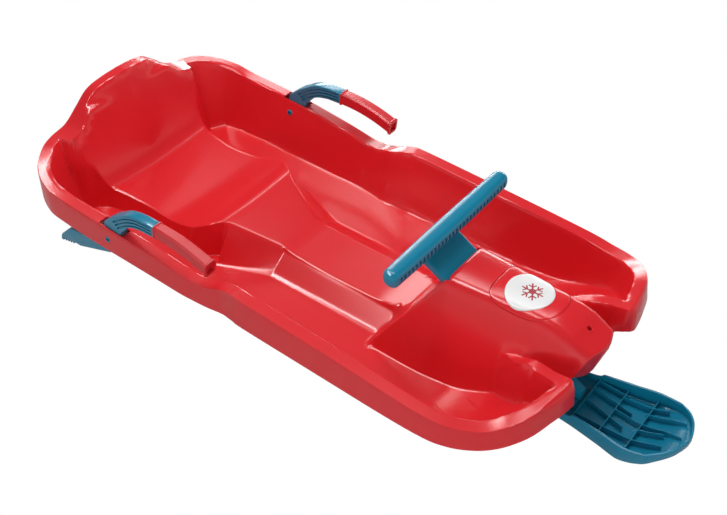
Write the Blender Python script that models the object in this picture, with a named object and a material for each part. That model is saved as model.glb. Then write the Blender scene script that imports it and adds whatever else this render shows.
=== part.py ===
# Steerable plastic bobsled: a moulded tub with a raised seat and a front hood,
# a handle bar on an inclined column that turns a front ski, and two hand brakes.
# X points forward, Y to the rider's left, Z up; the ground is Z = 0.
import math

import bmesh
import bpy
import numpy as np
from mathutils import Matrix, Vector

for old in list(bpy.data.objects):
    bpy.data.objects.remove(old, do_unlink=True)

# Sizes in metres
WALL = 0.0035
FIT = 0.0003
SEAM = 0.0007

# Tub outline, seen from above
REAR_X = -0.6135
REAR_CENTRE_X = -0.5995
REAR_CORNER_Y = 0.169
SIDE_HALF = 0.2565
LOBE_X = 0.4600
LOBE_HALF = SIDE_HALF - 0.0055
LOBE_TIP_Y = 0.110
NOTCH_X = 0.4250
NOTCH_Y = 0.084
NOSE_X = 0.4655
NOSE_HALF = 0.072

# Rim heights along the tub
HUMP_Z = 0.2324
HUMP_HALF = 0.0885
SHOULDER_Z = 0.1600
REAR_SIDE_Z = 0.1270
DIP_X = -0.166
DIP_Z = 0.1032
DIP_Y = SIDE_HALF - 0.0065
BULGE_X = -0.060
BULGE_Z = 0.1275
FRONT_LOW_X = 0.320
FRONT_LOW_Z = 0.1118
LOBE_Z = 0.1570
LEAF_TIP_X = 0.352
LEAF_TIP_Y = 0.068
LEAF_TIP_Z = 0.121

# Rim section
RIM_FLAT = 0.0215
RIM_FILLET = 0.0045
WALL_DRAFT = math.radians(14.0)
SKIRT_DRAFT = 0.0018
LOBE_ROUND = 0.0200
NOSE_UNDERCUT = 0.0190

# Skirt bottom edge
SKIRT_REAR_Z = 0.0900
SKIRT_MID_Z = 0.0650
SKIRT_LOBE_Z = 0.1040
SKIRT_NOSE_Z = 0.0830

# Floor
FLOOR_Z = 0.0135
FOOTWELL_RISE_X = 0.255
FOOTWELL_FRONT_X = 0.425
FOOTWELL_FRONT_Z = 0.100
GROOVE_Z = 0.0036
GROOVE_INNER = 0.0620
GROOVE_OUTER = 0.0880

# Seat
BACK_FOOT_X = -0.5388
BACK_FOOT_Z = 0.0655
BACK_SLOPE = 4.2
BACK_HALF = 0.150
PAN_LOW_X = -0.430
PAN_LOW_Z = 0.0480
PAN_HALF = 0.1160
PAN_DISH = 0.006
LIP_X = -0.2470
LIP_Z = 0.0828
LIP_HALF = 0.089
SEAT_FOOT_X = -0.1425
SEAT_FOOT_Z = 0.0451
SEAT_BASE_HALF = 0.131
SEAT_FLANK = 5.0

# Centre platform
PLATFORM_Z = 0.0420
PLATFORM_HALF = 0.0500
PLATFORM_FLANK = 3.2

# Hood
HOOD_FOOT_X = 0.1081
HOOD_FOOT_Z = 0.0302
HOOD_EDGE_X = 0.2107
HOOD_TOP_Z = 0.1815
HOOD_TOP_HALF = 0.0455
HOOD_SHOULDER_Z = 0.1600
HOOD_FLANK = 2.30
HOOD_CROWN = 0.007
NOSE_DROP_X = 0.372
NOSE_TOP_Z = 0.1500
NOSE_RAKE = 6.0
TOW_X = 0.429
TOW_RADIUS = 0.0036

# Cover on the hood and its plain badge
CAP_REAR_X = 0.2710
CAP_TIP_X = 0.3875
CAP_HALF = 0.0440
BADGE_X = 0.3263
BADGE_LENGTH = 0.080
BADGE_WIDTH = 0.074
BADGE_THICK = 0.0014
BADGE_SUNK = 0.0009

# Steering: a line that slopes forward and down
AXIS_X = 0.1835
AXIS_Z = 0.1673
AXIS_SLOPE = math.radians(31.0)
NECK_HALF = 0.0455
NECK_THICK = 0.0140
NECK_UP = 0.0480
NECK_DOWN = 0.0620
STEER_TURN = math.radians(12.0)
SHAFT_RADIUS = 0.0130
SHAFT_END = 0.2560
COLLAR_RADIUS = 0.0175
COLLAR_WIDE = 0.004
OPENING_GAP = 0.0012
OPENING_BEHIND = 0.030
OPENING_AHEAD = 0.048

# Bearing plates in the hood
REAR_BEARING_X = 0.262
FRONT_BEARING_X = 0.330
BEARING_THICK = 0.010
BEARING_FOOT_Z = 0.078
BEARING_FIT = 0.0016
BUSH_WALL = 0.0025
BUSH_LENGTH = 0.035

# Handle bar
BAR_X = 0.1685
BAR_Z = 0.2248
BAR_RISE = 0.0055
BAR_SWEEP = 0.0035
BAR_HALF = 0.157
BAR_THICK = 0.031
BAR_DEEP = 0.034
BAR_TAPER = 0.006
COMB_COUNT = 19
COMB_PITCH = 0.0130
COMB_WIDE = 0.0055
COMB_DEEP = 0.0045
SADDLE_HALF = 0.030
SADDLE_LENGTH = 0.026
BAR_SCREW_Y = 0.018
SCREW_RADIUS = 0.0022
SCREW_HEAD = 0.0042

# Front ski
SKI_REAR_X = 0.3380
SKI_TIP_X = 0.6155
SKI_REAR_HALF = 0.036
SKI_WAIST_X = 0.4500
SKI_WAIST_HALF = 0.0510
SKI_WIDE_X = 0.5416
SKI_WIDE_HALF = 0.0660
SKI_REAR_WALL = 0.0150
SKI_STEP = 0.0060
SKI_FRONT_WALL = 0.0330
SKI_TIP_TOP = 0.0470
SKI_BEND_X = 0.5275
SKI_TIP_BOTTOM = 0.0330
SKI_WALL = 0.0035
SKI_RIB = 0.0025
SKI_RIB_DROP = 0.006
SKI_RIB_TALL = 0.0160
FOOT_LENGTH = 0.056
FOOT_HALF = 0.024
FOOT_X = 0.4080
FOOT_THICK = 0.005

# Brake levers
PIN_X = -0.3685
PIN_Z = 0.0958
PIN_RADIUS = 0.0060
PIN_BORE = 0.0040
PIN_OUTER_Y = SIDE_HALF + 0.0008
PIN_INNER_Y = SIDE_HALF - 0.0330
LEVER_Y = SIDE_HALF - 0.0140
LEVER_WIDE = 0.0180
LEVER_GAP = 0.0012
HUB_RADIUS = 0.0115
HUB_INNER_Y = SIDE_HALF - 0.0237
HUB_OUTER_Y = SIDE_HALF - 0.0047
ARCH_X = -0.2945
ARCH_Z = 0.1825
ARCH_TALL = 0.0245
GRIP_X = -0.2400
GRIP_Z = 0.1752
GRIP_LENGTH = 0.1215
GRIP_TILT = math.radians(9.2)
GRIP_WIDE = 0.0185
GRIP_TALL = 0.0270
GRIP_BOW = 0.0064
GRIP_FLARE = 0.0018
TANG_WIDE = 0.0100
TANG_TALL = 0.0150
TANG_LENGTH = 0.048
TANG_LIFT = math.radians(6.5)
GROOVE_PITCH = 0.0065
GROOVE_WIDE = 0.0030
GROOVE_DEEP = 0.0030
CLAW_TIP_X = -0.5300
CLAW_TIP_Z = 0.0080
CLAW_HEAD_X = -0.4850
CLAW_HEAD_Z = 0.0540
TOOTH_COUNT = 5
TOOTH_DEEP = 0.0045
SLOT_REAR_X = -0.3880
SLOT_FRONT_X = -0.3290


def smooth_min(a, b, reach):
    """The lower of two heights, with a fillet over the given reach."""
    share = np.clip(0.5 + 0.5 * (b - a) / reach, 0.0, 1.0)
    return b * (1 - share) + a * share - reach * share * (1 - share)


def smooth_max(a, b, reach):
    """The higher of two heights, with a fillet over the given reach."""
    return -smooth_min(-a, -b, reach)


def through(knots, at):
    """A smooth line through (position, value) knots that never overshoots."""
    xs = np.array([k[0] for k in knots], float)
    ys = np.array([k[1] for k in knots], float)
    gap = np.diff(xs)
    rise = np.diff(ys) / gap
    slope = np.zeros(len(xs))
    slope[0] = rise[0]
    slope[-1] = rise[-1]
    same = rise[:-1] * rise[1:] > 0
    mean = 2 * rise[:-1] * rise[1:] / np.where(same, rise[:-1] + rise[1:], 1.0)
    slope[1:-1] = np.where(same, mean, 0.0)
    at = np.clip(np.asarray(at, float), xs[0], xs[-1])
    cell = np.clip(np.searchsorted(xs, at, side="right") - 1, 0, len(xs) - 2)
    t = (at - xs[cell]) / gap[cell]
    a = (1 + 2 * t) * (1 - t) ** 2
    b = t * (1 - t) ** 2 * gap[cell]
    c = t * t * (3 - 2 * t)
    d = t * t * (t - 1) * gap[cell]
    return a * ys[cell] + b * slope[cell] + c * ys[cell + 1] + d * slope[cell + 1]


def spline(points, steps):
    """Points along a Catmull-Rom curve through the given points."""
    pts = np.array(points, float)
    ext = np.vstack([2 * pts[0] - pts[1], pts, 2 * pts[-1] - pts[-2]])
    out = []
    for i in range(len(pts) - 1):
        p0, p1, p2, p3 = ext[i:i + 4]
        for t in np.linspace(0, 1, steps, endpoint=False):
            out.append(0.5 * (2 * p1 + (p2 - p0) * t + (2 * p0 - 5 * p1 + 4 * p2 - p3) * t * t
                              + (3 * p1 - p0 - 3 * p2 + p3) * t ** 3))
    out.append(pts[-1])
    return np.array(out)


def rim_points():
    """Outer top edge of the rim on the left side, from the rear middle to the hood.

    The fourth value is how far the edge is rounded over, from a plain rim to the full lobe front.
    """
    rear_y = REAR_CORNER_Y
    return [
        (REAR_CENTRE_X, 0.0, HUMP_Z, 0.0),
        (REAR_CENTRE_X - 0.0040, HUMP_HALF * 0.43, HUMP_Z - 0.005, 0.0),
        (REAR_X + 0.0050, HUMP_HALF * 0.80, HUMP_Z - 0.0154, 0.0),
        (REAR_X + 0.0010, HUMP_HALF * 1.14, SHOULDER_Z + 0.0310, 0.0),
        (REAR_X + 0.0005, HUMP_HALF * 1.50, SHOULDER_Z + 0.0085, 0.0),
        (REAR_X, rear_y, SHOULDER_Z, 0.0),
        (REAR_X + 0.0130, rear_y + 0.0320, SHOULDER_Z - 0.0035, 0.0),
        (REAR_X + 0.0400, SIDE_HALF - 0.0210, SHOULDER_Z - 0.0150, 0.0),
        (REAR_X + 0.0800, SIDE_HALF - 0.0030, REAR_SIDE_Z + 0.0080, 0.0),
        (REAR_X + 0.1300, SIDE_HALF + 0.0005, REAR_SIDE_Z, 0.0),
        (PIN_X, SIDE_HALF, REAR_SIDE_Z - 0.0045, 0.0),
        (DIP_X - 0.0830, SIDE_HALF - 0.0035, DIP_Z + 0.0097, 0.0),
        (DIP_X - 0.0320, DIP_Y + 0.0020, DIP_Z + 0.0030, 0.0),
        (DIP_X, DIP_Y, DIP_Z, 0.0),
        (DIP_X + 0.0330, DIP_Y - 0.0020, DIP_Z + 0.0040, 0.0),
        (DIP_X + 0.0620, DIP_Y - 0.0045, BULGE_Z - 0.0090, 0.0),
        (BULGE_X - 0.0200, DIP_Y - 0.0020, BULGE_Z - 0.0010, 0.0),
        (BULGE_X + 0.0150, LOBE_HALF, BULGE_Z, 0.0),
        (0.5 * (BULGE_X + FRONT_LOW_X), LOBE_HALF, 0.5 * (BULGE_Z + FRONT_LOW_Z) + 0.001, 0.0),
        (FRONT_LOW_X - 0.0300, LOBE_HALF, FRONT_LOW_Z + 0.0005, 0.0),
        (FRONT_LOW_X + 0.0260, LOBE_HALF - 0.0065, FRONT_LOW_Z, 0.0),
        (LOBE_X - 0.0830, LOBE_HALF - 0.0165, LOBE_Z - 0.0400, 0.0),
        (LOBE_X - 0.0640, LOBE_HALF - 0.0300, LOBE_Z - 0.0350, 0.0),
        (LOBE_X - 0.0430, LOBE_HALF - 0.0500, LOBE_Z - 0.0240, 0.2),
        (LOBE_X - 0.0240, LOBE_HALF - 0.0760, LOBE_Z - 0.0130, 0.6),
        (LOBE_X - 0.0095, LOBE_TIP_Y + 0.0320, LOBE_Z - 0.0030, 1.0),
        (LOBE_X - 0.0015, LOBE_TIP_Y + 0.0080, LOBE_Z + 0.0015, 1.0),
        (LOBE_X - 0.0010, LOBE_TIP_Y - 0.0070, LOBE_Z + 0.0035, 1.0),
        (LOBE_X - 0.0100, LOBE_TIP_Y - 0.0160, LOBE_Z + 0.0035, 0.7),
        (LOBE_X - 0.0350, LEAF_TIP_Y + 0.0210, LOBE_Z - 0.0010, 0.7),
        (0.5 * (LOBE_X + LEAF_TIP_X) - 0.0180, LEAF_TIP_Y + 0.0120, 0.5 * (LOBE_Z + LEAF_TIP_Z) + 0.007, 0.8),
        (LEAF_TIP_X, LEAF_TIP_Y, LEAF_TIP_Z, 0.9),
        (LEAF_TIP_X - 0.0500, LEAF_TIP_Y - 0.0280, LEAF_TIP_Z - 0.0200, 1.0),
        (LEAF_TIP_X - 0.0700, 0.0, LEAF_TIP_Z - 0.0200, 1.0),
    ]


RIM = spline(rim_points(), 9)


def rim_distance(x, y):
    """Distance inward from the rim edge, and the rim's height and roundness at the nearest point of it."""
    px = np.asarray(x, float).ravel()
    py = np.abs(np.asarray(y, float)).ravel()
    ax, ay, az, around = RIM[:-1].T
    dx, dy, dz, turn = (RIM[1:] - RIM[:-1]).T
    length = dx * dx + dy * dy
    best = np.full(px.shape, 1e9)
    height = np.zeros(px.shape)
    rounded = np.zeros(px.shape)
    side = np.ones(px.shape)
    for i in range(len(ax)):
        t = np.clip(((px - ax[i]) * dx[i] + (py - ay[i]) * dy[i]) / length[i], 0, 1)
        ox = px - ax[i] - t * dx[i]
        oy = py - ay[i] - t * dy[i]
        far = ox * ox + oy * oy
        near = far < best - 1e-12
        best = np.where(near, far, best)
        height = np.where(near, az[i] + t * dz[i], height)
        rounded = np.where(near, around[i] + t * turn[i], rounded)
        side = np.where(near, np.sign(dx[i] * -oy + dy[i] * ox), side)
    inside = np.where(side == 0, 1.0, side)
    return [v.reshape(np.shape(x)) for v in (np.sqrt(best) * inside, height, rounded)]


def centre_line(x):
    """Height of the seat's back, pan, lip and front face and of the platform along the middle."""
    back = BACK_FOOT_Z + (BACK_FOOT_X - x) * BACK_SLOPE
    pan = through([
        (BACK_FOOT_X - 0.06, BACK_FOOT_Z - 0.004),
        (BACK_FOOT_X, BACK_FOOT_Z - 0.008),
        (PAN_LOW_X - 0.055, PAN_LOW_Z + 0.004),
        (PAN_LOW_X, PAN_LOW_Z),
        (PAN_LOW_X + 0.050, PAN_LOW_Z + 0.002),
        (LIP_X - 0.058, LIP_Z - 0.0155),
        (LIP_X - 0.020, LIP_Z - 0.003),
        (LIP_X + 0.010, LIP_Z + 0.0075),
    ], x)
    face = LIP_Z + (x - LIP_X) * (SEAT_FOOT_Z - LIP_Z) / (SEAT_FOOT_X - LIP_X)
    seat = smooth_min(smooth_max(back, pan, 0.030), face, 0.006)
    deck = PLATFORM_Z + through([
        (SEAT_FOOT_X, 0.0030),
        (SEAT_FOOT_X + 0.10, 0.0),
        (HOOD_FOOT_X - 0.05, 0.0025),
        (HOOD_FOOT_X + 0.02, 0.0140),
    ], x)
    return smooth_max(seat, deck, 0.008)


def seat_half(x):
    """Half width of the seat and of the platform behind the hood."""
    return through([
        (BACK_FOOT_X - 0.05, BACK_HALF + 0.004),
        (BACK_FOOT_X - 0.016, BACK_HALF),
        (BACK_FOOT_X, 0.5 * (BACK_HALF + PAN_HALF)),
        (BACK_FOOT_X + 0.057, PAN_HALF + 0.004),
        (PAN_LOW_X, PAN_HALF),
        (LIP_X - 0.058, PAN_HALF + 0.009),
        (LIP_X - 0.030, PAN_HALF - 0.004),
        (LIP_X, LIP_HALF),
        (SEAT_FOOT_X, PLATFORM_HALF + 0.002),
        (HOOD_FOOT_X, PLATFORM_HALF - 0.006),
    ], x)


def tub_floor(x, y):
    """Floor of the tub: runner grooves beside the platform, rising at the toes."""
    plain = FLOOR_Z + through([
        (FOOTWELL_RISE_X - 0.08, 0.0),
        (FOOTWELL_RISE_X, 0.004),
        (FOOTWELL_RISE_X + 0.070, 0.024),
        (FOOTWELL_FRONT_X - 0.040, 0.056),
        (FOOTWELL_FRONT_X, FOOTWELL_FRONT_Z - FLOOR_Z),
        (FOOTWELL_FRONT_X + 0.050, FOOTWELL_FRONT_Z - FLOOR_Z + 0.05),
    ], x)
    across = np.clip((GROOVE_OUTER - y) / (GROOVE_OUTER - GROOVE_INNER), 0.0, 1.0)
    return plain - (FLOOR_Z - GROOVE_Z) * across


def seat_form(x, y):
    """Seat and platform as one raised form with steep sides."""
    half = seat_half(x)
    dish = PAN_DISH * np.clip(1 - (y / half) ** 2, 0, 1) * np.clip((LIP_X + 0.01 - x) / 0.05, 0, 1)
    top = centre_line(x) - dish
    front = np.clip((x - LIP_X) / (SEAT_FOOT_X - LIP_X), 0.0, 1.0)
    behind = x < LIP_X + 0.004
    edge = centre_line(x)
    steep = edge + (half - y) * SEAT_FLANK
    base = SEAT_BASE_HALF + (GROOVE_OUTER - SEAT_BASE_HALF) * front
    lean = 1.55 + (0.75 - 1.55) * front
    gentle = FLOOR_Z + (base - y) * lean
    deck = PLATFORM_Z + (PLATFORM_HALF - y) * PLATFORM_FLANK
    ahead = smooth_max(gentle, deck, 0.006)
    near = np.clip((x - LIP_X + 0.006) / 0.012, 0, 1)
    side = np.where(behind & (near <= 0), steep, steep * (1 - near) + ahead * near)
    return smooth_min(top, side, 0.005)


def hood_form(x, y):
    """Hood: sloping back wall, crowned top, steep flanks and a rounded nose."""
    rise = (HOOD_TOP_Z - HOOD_FOOT_Z) / (HOOD_EDGE_X - HOOD_FOOT_X)
    back = HOOD_FOOT_Z + (x - HOOD_FOOT_X) * rise
    ridge = through([
        (HOOD_EDGE_X, HOOD_TOP_Z),
        (NOSE_DROP_X, HOOD_TOP_Z - 0.001),
        (TOW_X - 0.012, HOOD_TOP_Z - 0.011),
        (TOW_X + 0.006, HOOD_TOP_Z - 0.020),
        (NOSE_X - 0.004, NOSE_TOP_Z),
    ], x)
    top = ridge - HOOD_CROWN * (y / HOOD_TOP_HALF) ** 2
    narrow = through([
        (HOOD_EDGE_X, 0.0080),
        (NOSE_DROP_X - 0.03, 0.0),
        (TOW_X - 0.01, -0.0045),
        (NOSE_X - 0.010, -0.0150),
    ], x)
    flank = HOOD_SHOULDER_Z + (HOOD_TOP_HALF + narrow - y) * HOOD_FLANK
    front = NOSE_TOP_Z + (NOSE_X - 0.002 - 0.030 * (y / NOSE_HALF) ** 2 - x) * NOSE_RAKE
    body = smooth_min(smooth_min(top, flank, 0.016), back, 0.009)
    return smooth_min(body, front, 0.016)


def surface(x, y):
    """Height of the tub's upper surface at any point inside its outline."""
    x = np.asarray(x, float)
    y = np.abs(np.asarray(y, float))
    inward, rim_z, front = rim_distance(x, y)
    wall = rim_z + (RIM_FILLET * 0.7 + RIM_FLAT - inward) / math.tan(WALL_DRAFT)
    bowl = smooth_max(wall, tub_floor(x, y), 0.014)
    bowl = smooth_max(bowl, seat_form(x, y), 0.006)
    steep = 14.0 + (3.2 - 14.0) * front
    start = RIM_FILLET * 0.35 + (0.375 * LOBE_ROUND - RIM_FILLET * 0.35) * front
    reach = 0.008 + (LOBE_ROUND - 0.008) * front
    skirt = rim_z + (inward - start) * steep
    tub = smooth_min(smooth_min(rim_z, bowl, 0.006), skirt, reach)
    return smooth_max(tub, hood_form(x, y), 0.006)


def skirt_bottom(x, y):
    """Height of the skirt's lower edge round the outline."""
    side = through([
        (REAR_X, SKIRT_REAR_Z + 0.004),
        (REAR_X + 0.040, SKIRT_REAR_Z),
        (REAR_X + 0.090, SKIRT_MID_Z + 0.012),
        (REAR_X + 0.290, SKIRT_MID_Z + 0.003),
        (DIP_X, SKIRT_MID_Z - 0.003),
        (BULGE_X, SKIRT_MID_Z + 0.003),
        (0.20, SKIRT_MID_Z),
        (FRONT_LOW_X, SKIRT_MID_Z + 0.002),
        (LOBE_X - 0.060, 0.5 * (SKIRT_MID_Z + SKIRT_LOBE_Z)),
        (LOBE_X - 0.010, SKIRT_LOBE_Z),
    ], x)
    nose = np.clip((NOTCH_Y + 0.004 - np.abs(y)) / (0.8 * NOTCH_Y), 0, 1) * (x > 0.5 * NOTCH_X)
    return side * (1 - nose) + SKIRT_NOSE_Z * nose


def set_material(obj, name, colour, roughness, metallic=0.0):
    mat = bpy.data.materials.get(name)
    if mat is None:
        mat = bpy.data.materials.new(name)
        mat.use_nodes = True
        bsdf = mat.node_tree.nodes["Principled BSDF"]
        bsdf.inputs["Base Color"].default_value = (*colour, 1.0)
        bsdf.inputs["Roughness"].default_value = roughness
        bsdf.inputs["Metallic"].default_value = metallic
    obj.data.materials.clear()
    obj.data.materials.append(mat)


RED = (0.72, 0.012, 0.022)
DARK_RED = (0.55, 0.010, 0.016)
TEAL = (0.012, 0.21, 0.38)
WHITE = (0.85, 0.85, 0.85)
STEEL = (0.55, 0.56, 0.58)


def add_mesh(name, verts, faces, guide=False):
    """A new object from points and faces, with faces turned outward."""
    mesh = bpy.data.meshes.new(name)
    mesh.from_pydata([tuple(map(float, v)) for v in verts], [], faces)
    bm = bmesh.new()
    bm.from_mesh(mesh)
    bmesh.ops.recalc_face_normals(bm, faces=bm.faces)
    bm.to_mesh(mesh)
    bm.free()
    obj = bpy.data.objects.new(name, mesh)
    bpy.context.scene.collection.objects.link(obj)
    if guide:
        obj.hide_render = True
        obj.display_type = "WIRE"
    return obj


def loft(name, rings, guide=False, closed_ends=True):
    """A skin over closed rings of equal count, with flat ends."""
    count = len(rings[0])
    verts = [v for ring in rings for v in ring]
    faces = []
    for r in range(len(rings) - 1):
        for i in range(count):
            j = (i + 1) % count
            faces.append((r * count + i, r * count + j, (r + 1) * count + j, (r + 1) * count + i))
    if closed_ends:
        last = (len(rings) - 1) * count
        faces.append(tuple(range(count))[::-1])
        faces.append(tuple(last + i for i in range(count)))
    return add_mesh(name, verts, faces, guide)


def box(name, low, high, guide=False, place=None):
    """A block between two corners, moved by a matrix where one is given."""
    ring = [(low[0], low[1]), (high[0], low[1]), (high[0], high[1]), (low[0], high[1])]
    rings = [[Vector((x, y, z)) for x, y in ring] for z in (low[2], high[2])]
    if place is not None:
        rings = [[place @ v for v in r] for r in rings]
    return loft(name, rings, guide)


def tube(name, radius, low, high, place, sides=20, guide=False):
    """A round bar along the local X axis of the given frame."""
    rings = []
    for x in (low, high):
        ring = []
        for k in range(sides):
            turn = 2 * math.pi * k / sides
            ring.append(place @ Vector((x, radius * math.cos(turn), radius * math.sin(turn))))
        rings.append(ring)
    return loft(name, rings, guide)


def apply_boolean(obj, other, kind, solver="EXACT"):
    """Cut, join or intersect for good, and drop the other shape."""
    mod = obj.modifiers.new(kind.lower(), "BOOLEAN")
    mod.operation = kind
    mod.solver = solver
    mod.object = other
    bpy.context.view_layer.update()
    graph = bpy.context.evaluated_depsgraph_get()
    mesh = bpy.data.meshes.new_from_object(obj.evaluated_get(graph))
    obj.modifiers.clear()
    old_mesh = obj.data
    obj.data = mesh
    bpy.data.meshes.remove(old_mesh)
    bpy.data.objects.remove(other, do_unlink=True)


def tidy(obj, distance=0.00005):
    """Merge points that fall together after the cuts."""
    bm = bmesh.new()
    bm.from_mesh(obj.data)
    bmesh.ops.remove_doubles(bm, verts=bm.verts, dist=distance)
    bmesh.ops.dissolve_degenerate(bm, edges=bm.edges, dist=distance)
    bm.to_mesh(obj.data)
    bm.free()


def finish(obj, name, colour, roughness, metallic=0.0, mat=None):
    """Name, colour and smooth shading."""
    obj.name = name
    obj.data.name = name
    set_material(obj, mat or name + "_mat", colour, roughness, metallic)
    obj.data.shade_smooth()
    obj.data.set_sharp_from_angle(angle=math.radians(32))
    return obj


# Tub: rings from the skirt edge inward, then a grid over the floor, seat and hood
GRID_PITCH = 0.0060
BAND = [0.0, 0.03, 0.06, 0.10, 0.17, 0.30, 0.41, 0.46, 0.52, 0.58, 0.66, 0.76, 0.86, 0.94, 1.0]
HULL_FACES = 2350


def inner_loop_y(x):
    """Half width of the floor grid at a station."""
    return through([
        (REAR_X + 0.040, REAR_CORNER_Y - 0.011),
        (REAR_X + 0.055, REAR_CORNER_Y + 0.001),
        (REAR_X + 0.090, SIDE_HALF - 0.0665),
        (REAR_X + 0.160, SIDE_HALF - 0.0565),
        (0.0, SIDE_HALF - 0.0525),
        (FOOTWELL_RISE_X + 0.025, SIDE_HALF - 0.0535),
        (FOOTWELL_FRONT_X - 0.075, SIDE_HALF - 0.0635),
        (FOOTWELL_FRONT_X - 0.030, SIDE_HALF - 0.0915),
    ], x)


def outline_points():
    """The whole edge of the tub on the left: rim edge, notch and nose."""
    rim = [(p[0], p[1]) for p in rim_points()]
    past = [i for i, p in enumerate(rim) if p[0] > LOBE_X - 0.011 and p[1] < LOBE_TIP_Y - 0.010][0]
    return rim[:past + 1] + [
        (0.5 * (LOBE_X + NOTCH_X) - 0.0045, NOTCH_Y + 0.0065),
        (NOTCH_X, NOTCH_Y),
        (NOTCH_X + 0.0110, NOSE_HALF + 0.0010),
        (NOSE_X - 0.0135, NOSE_HALF - 0.0210),
        (NOSE_X - 0.0030, NOSE_HALF - 0.0460),
        (NOSE_X, 0.0),
    ]


def run_length(points):
    """Length along a line of points up to each of them."""
    return np.concatenate([[0], np.cumsum(np.linalg.norm(np.diff(points, axis=0), axis=1))])


def paired_edge(inner):
    """For each point of the left half of the floor loop, the edge point that lies out from it."""
    edge = spline(outline_points(), 12)
    run = run_length(edge)
    side = np.where((edge[:, 1] > 0.15) & (edge[:, 0] < 0.3), 0.0, 10.0)
    corner = int(np.argmin(np.abs(edge[:, 0] - REAR_X - 0.022) + side))
    front = np.where(edge[:, 0] > 0.3, 0.0, 10.0)
    lobe = int(np.argmin(np.abs(edge[:, 1] - LOBE_HALF + 0.066) + front))
    walk = run_length(inner)
    first = int(np.argmax(inner[:, 1] > inner_loop_y(inner[0, 0]) - 1e-9))
    last = len(inner) - 1 - int(np.argmax(inner[::-1, 0] < inner[-1, 0] - 1e-9))
    knots = [0, first, last, len(inner) - 1]
    place = np.interp(walk, walk[knots], run[[0, corner, lobe, len(edge) - 1]])
    straight = (inner[:, 0] > REAR_X + 0.085) & (inner[:, 0] < FRONT_LOW_X - 0.02) & (inner[:, 1] > 0.17)
    far = np.where(edge[:, 1] < 0.2, 10.0, 0.0)
    for i in np.nonzero(straight)[0]:
        place[i] = run[int(np.argmin(np.abs(edge[:, 0] - inner[i, 0]) + far))]
    for _ in range(40):
        soft = 0.25 * place[:-2] + 0.5 * place[1:-1] + 0.25 * place[2:]
        place[1:-1] = np.where(straight[1:-1], place[1:-1], soft)
    return np.stack([np.interp(place, run, edge[:, k]) for k in range(2)], -1)


def tub_sheet():
    """Upper surface of the tub as points and faces."""
    low = REAR_X + 0.0475
    high = FOOTWELL_FRONT_X - 0.030
    nx = int(round((high - low) / GRID_PITCH)) + 1
    xs = np.linspace(low, high, nx)
    count = int(round(SIDE_HALF * 0.8 / GRID_PITCH))
    share = np.linspace(-1, 1, 2 * count + 1)
    gy = inner_loop_y(xs)[:, None] * share[None, :]
    gx = np.repeat(xs[:, None], gy.shape[1], axis=1)
    ny = gy.shape[1]
    mid = ny // 2
    loop = [(0, j) for j in range(mid, ny)]
    loop += [(i, ny - 1) for i in range(1, nx)]
    loop += [(nx - 1, j) for j in range(ny - 2, mid - 1, -1)]
    left = len(loop)
    loop += [(nx - 1, j) for j in range(mid - 1, -1, -1)]
    loop += [(i, 0) for i in range(nx - 2, -1, -1)]
    loop += [(0, j) for j in range(1, mid)]
    inner = np.array([(gx[a, b], gy[a, b]) for a, b in loop])
    outer = paired_edge(inner[:left])
    outer = np.concatenate([outer, outer[::-1][1:-1] * np.array([1, -1])])
    verts = []
    rings = []
    for share_in in BAND[:-1]:
        pts = outer + (inner - outer) * share_in
        if share_in == 0.0:
            out = (outer - inner) / np.linalg.norm(outer - inner, axis=1)[:, None]
            z = skirt_bottom(outer[:, 0], outer[:, 1])
            under = np.clip((NOTCH_Y - np.abs(outer[:, 1])) / (0.3 * NOTCH_Y), 0, 1) * (outer[:, 0] > NOTCH_X)
            pts = outer + out * (SKIRT_DRAFT - (SKIRT_DRAFT + NOSE_UNDERCUT) * under)[:, None]
        else:
            z = surface(pts[:, 0], pts[:, 1])
        rings.append(list(range(len(verts), len(verts) + len(pts))))
        verts.extend(np.column_stack([pts, z]))
    base = len(verts)
    verts.extend(np.column_stack([gx.ravel(), gy.ravel(), surface(gx, gy).ravel()]))
    rings.append([base + a * ny + b for a, b in loop])
    faces = []
    n = len(loop)
    for a, b in zip(rings[:-1], rings[1:]):
        faces += [(a[i], a[(i + 1) % n], b[(i + 1) % n], b[i]) for i in range(n)]
    for i in range(nx - 1):
        for j in range(ny - 1):
            p = base + i * ny + j
            faces.append((p, p + 1, p + ny + 1, p + ny))
    return verts, faces


def evaluated(obj):
    """A new mesh with the object's modifiers applied."""
    bpy.context.view_layer.update()
    graph = bpy.context.evaluated_depsgraph_get()
    return bpy.data.meshes.new_from_object(obj.evaluated_get(graph))


def solid_sheet(name, verts, faces, thick, keep=0):
    """A sheet thinned out where it is flat and thickened downward into a closed shell."""
    obj = add_mesh(name, verts, faces)
    up = sum(f.normal.z * f.area for f in obj.data.polygons)
    if up < 0:
        obj.data.flip_normals()
    if keep:
        thin = obj.modifiers.new("thin", "DECIMATE")
        thin.decimate_type = "COLLAPSE"
        thin.ratio = keep / (2.0 * len(faces))
        thin.use_symmetry = True
        thin.symmetry_axis = "Y"
    mod = obj.modifiers.new("thickness", "SOLIDIFY")
    mod.thickness = thick
    mod.offset = -1.0
    mod.use_even_offset = False
    mod.use_rim = True
    made = evaluated(obj)
    obj.modifiers.clear()
    obj.data = made
    return obj


def prism(name, outline, low, high, guide=False):
    """An upright block over a plan outline."""
    return loft(name, [[(x, y, z) for x, y in outline] for z in (low, high)], guide)


def side_prism(name, outline, low_y, high_y, guide=False):
    """A block over a side outline of (x, z) points, between two widths."""
    return loft(name, [[(x, y, z) for x, z in outline] for y in (low_y, high_y)], guide)


def ring_points(radius, sides):
    return [(radius * math.cos(2 * math.pi * k / sides), radius * math.sin(2 * math.pi * k / sides))
            for k in range(sides)]


def cross_pin(name, x, z, radius, low_y, high_y, sides=20, guide=False):
    """A round bar across the tub."""
    return side_prism(name, [(x + a, z + b) for a, b in ring_points(radius, sides)], low_y, high_y, guide)


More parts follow.
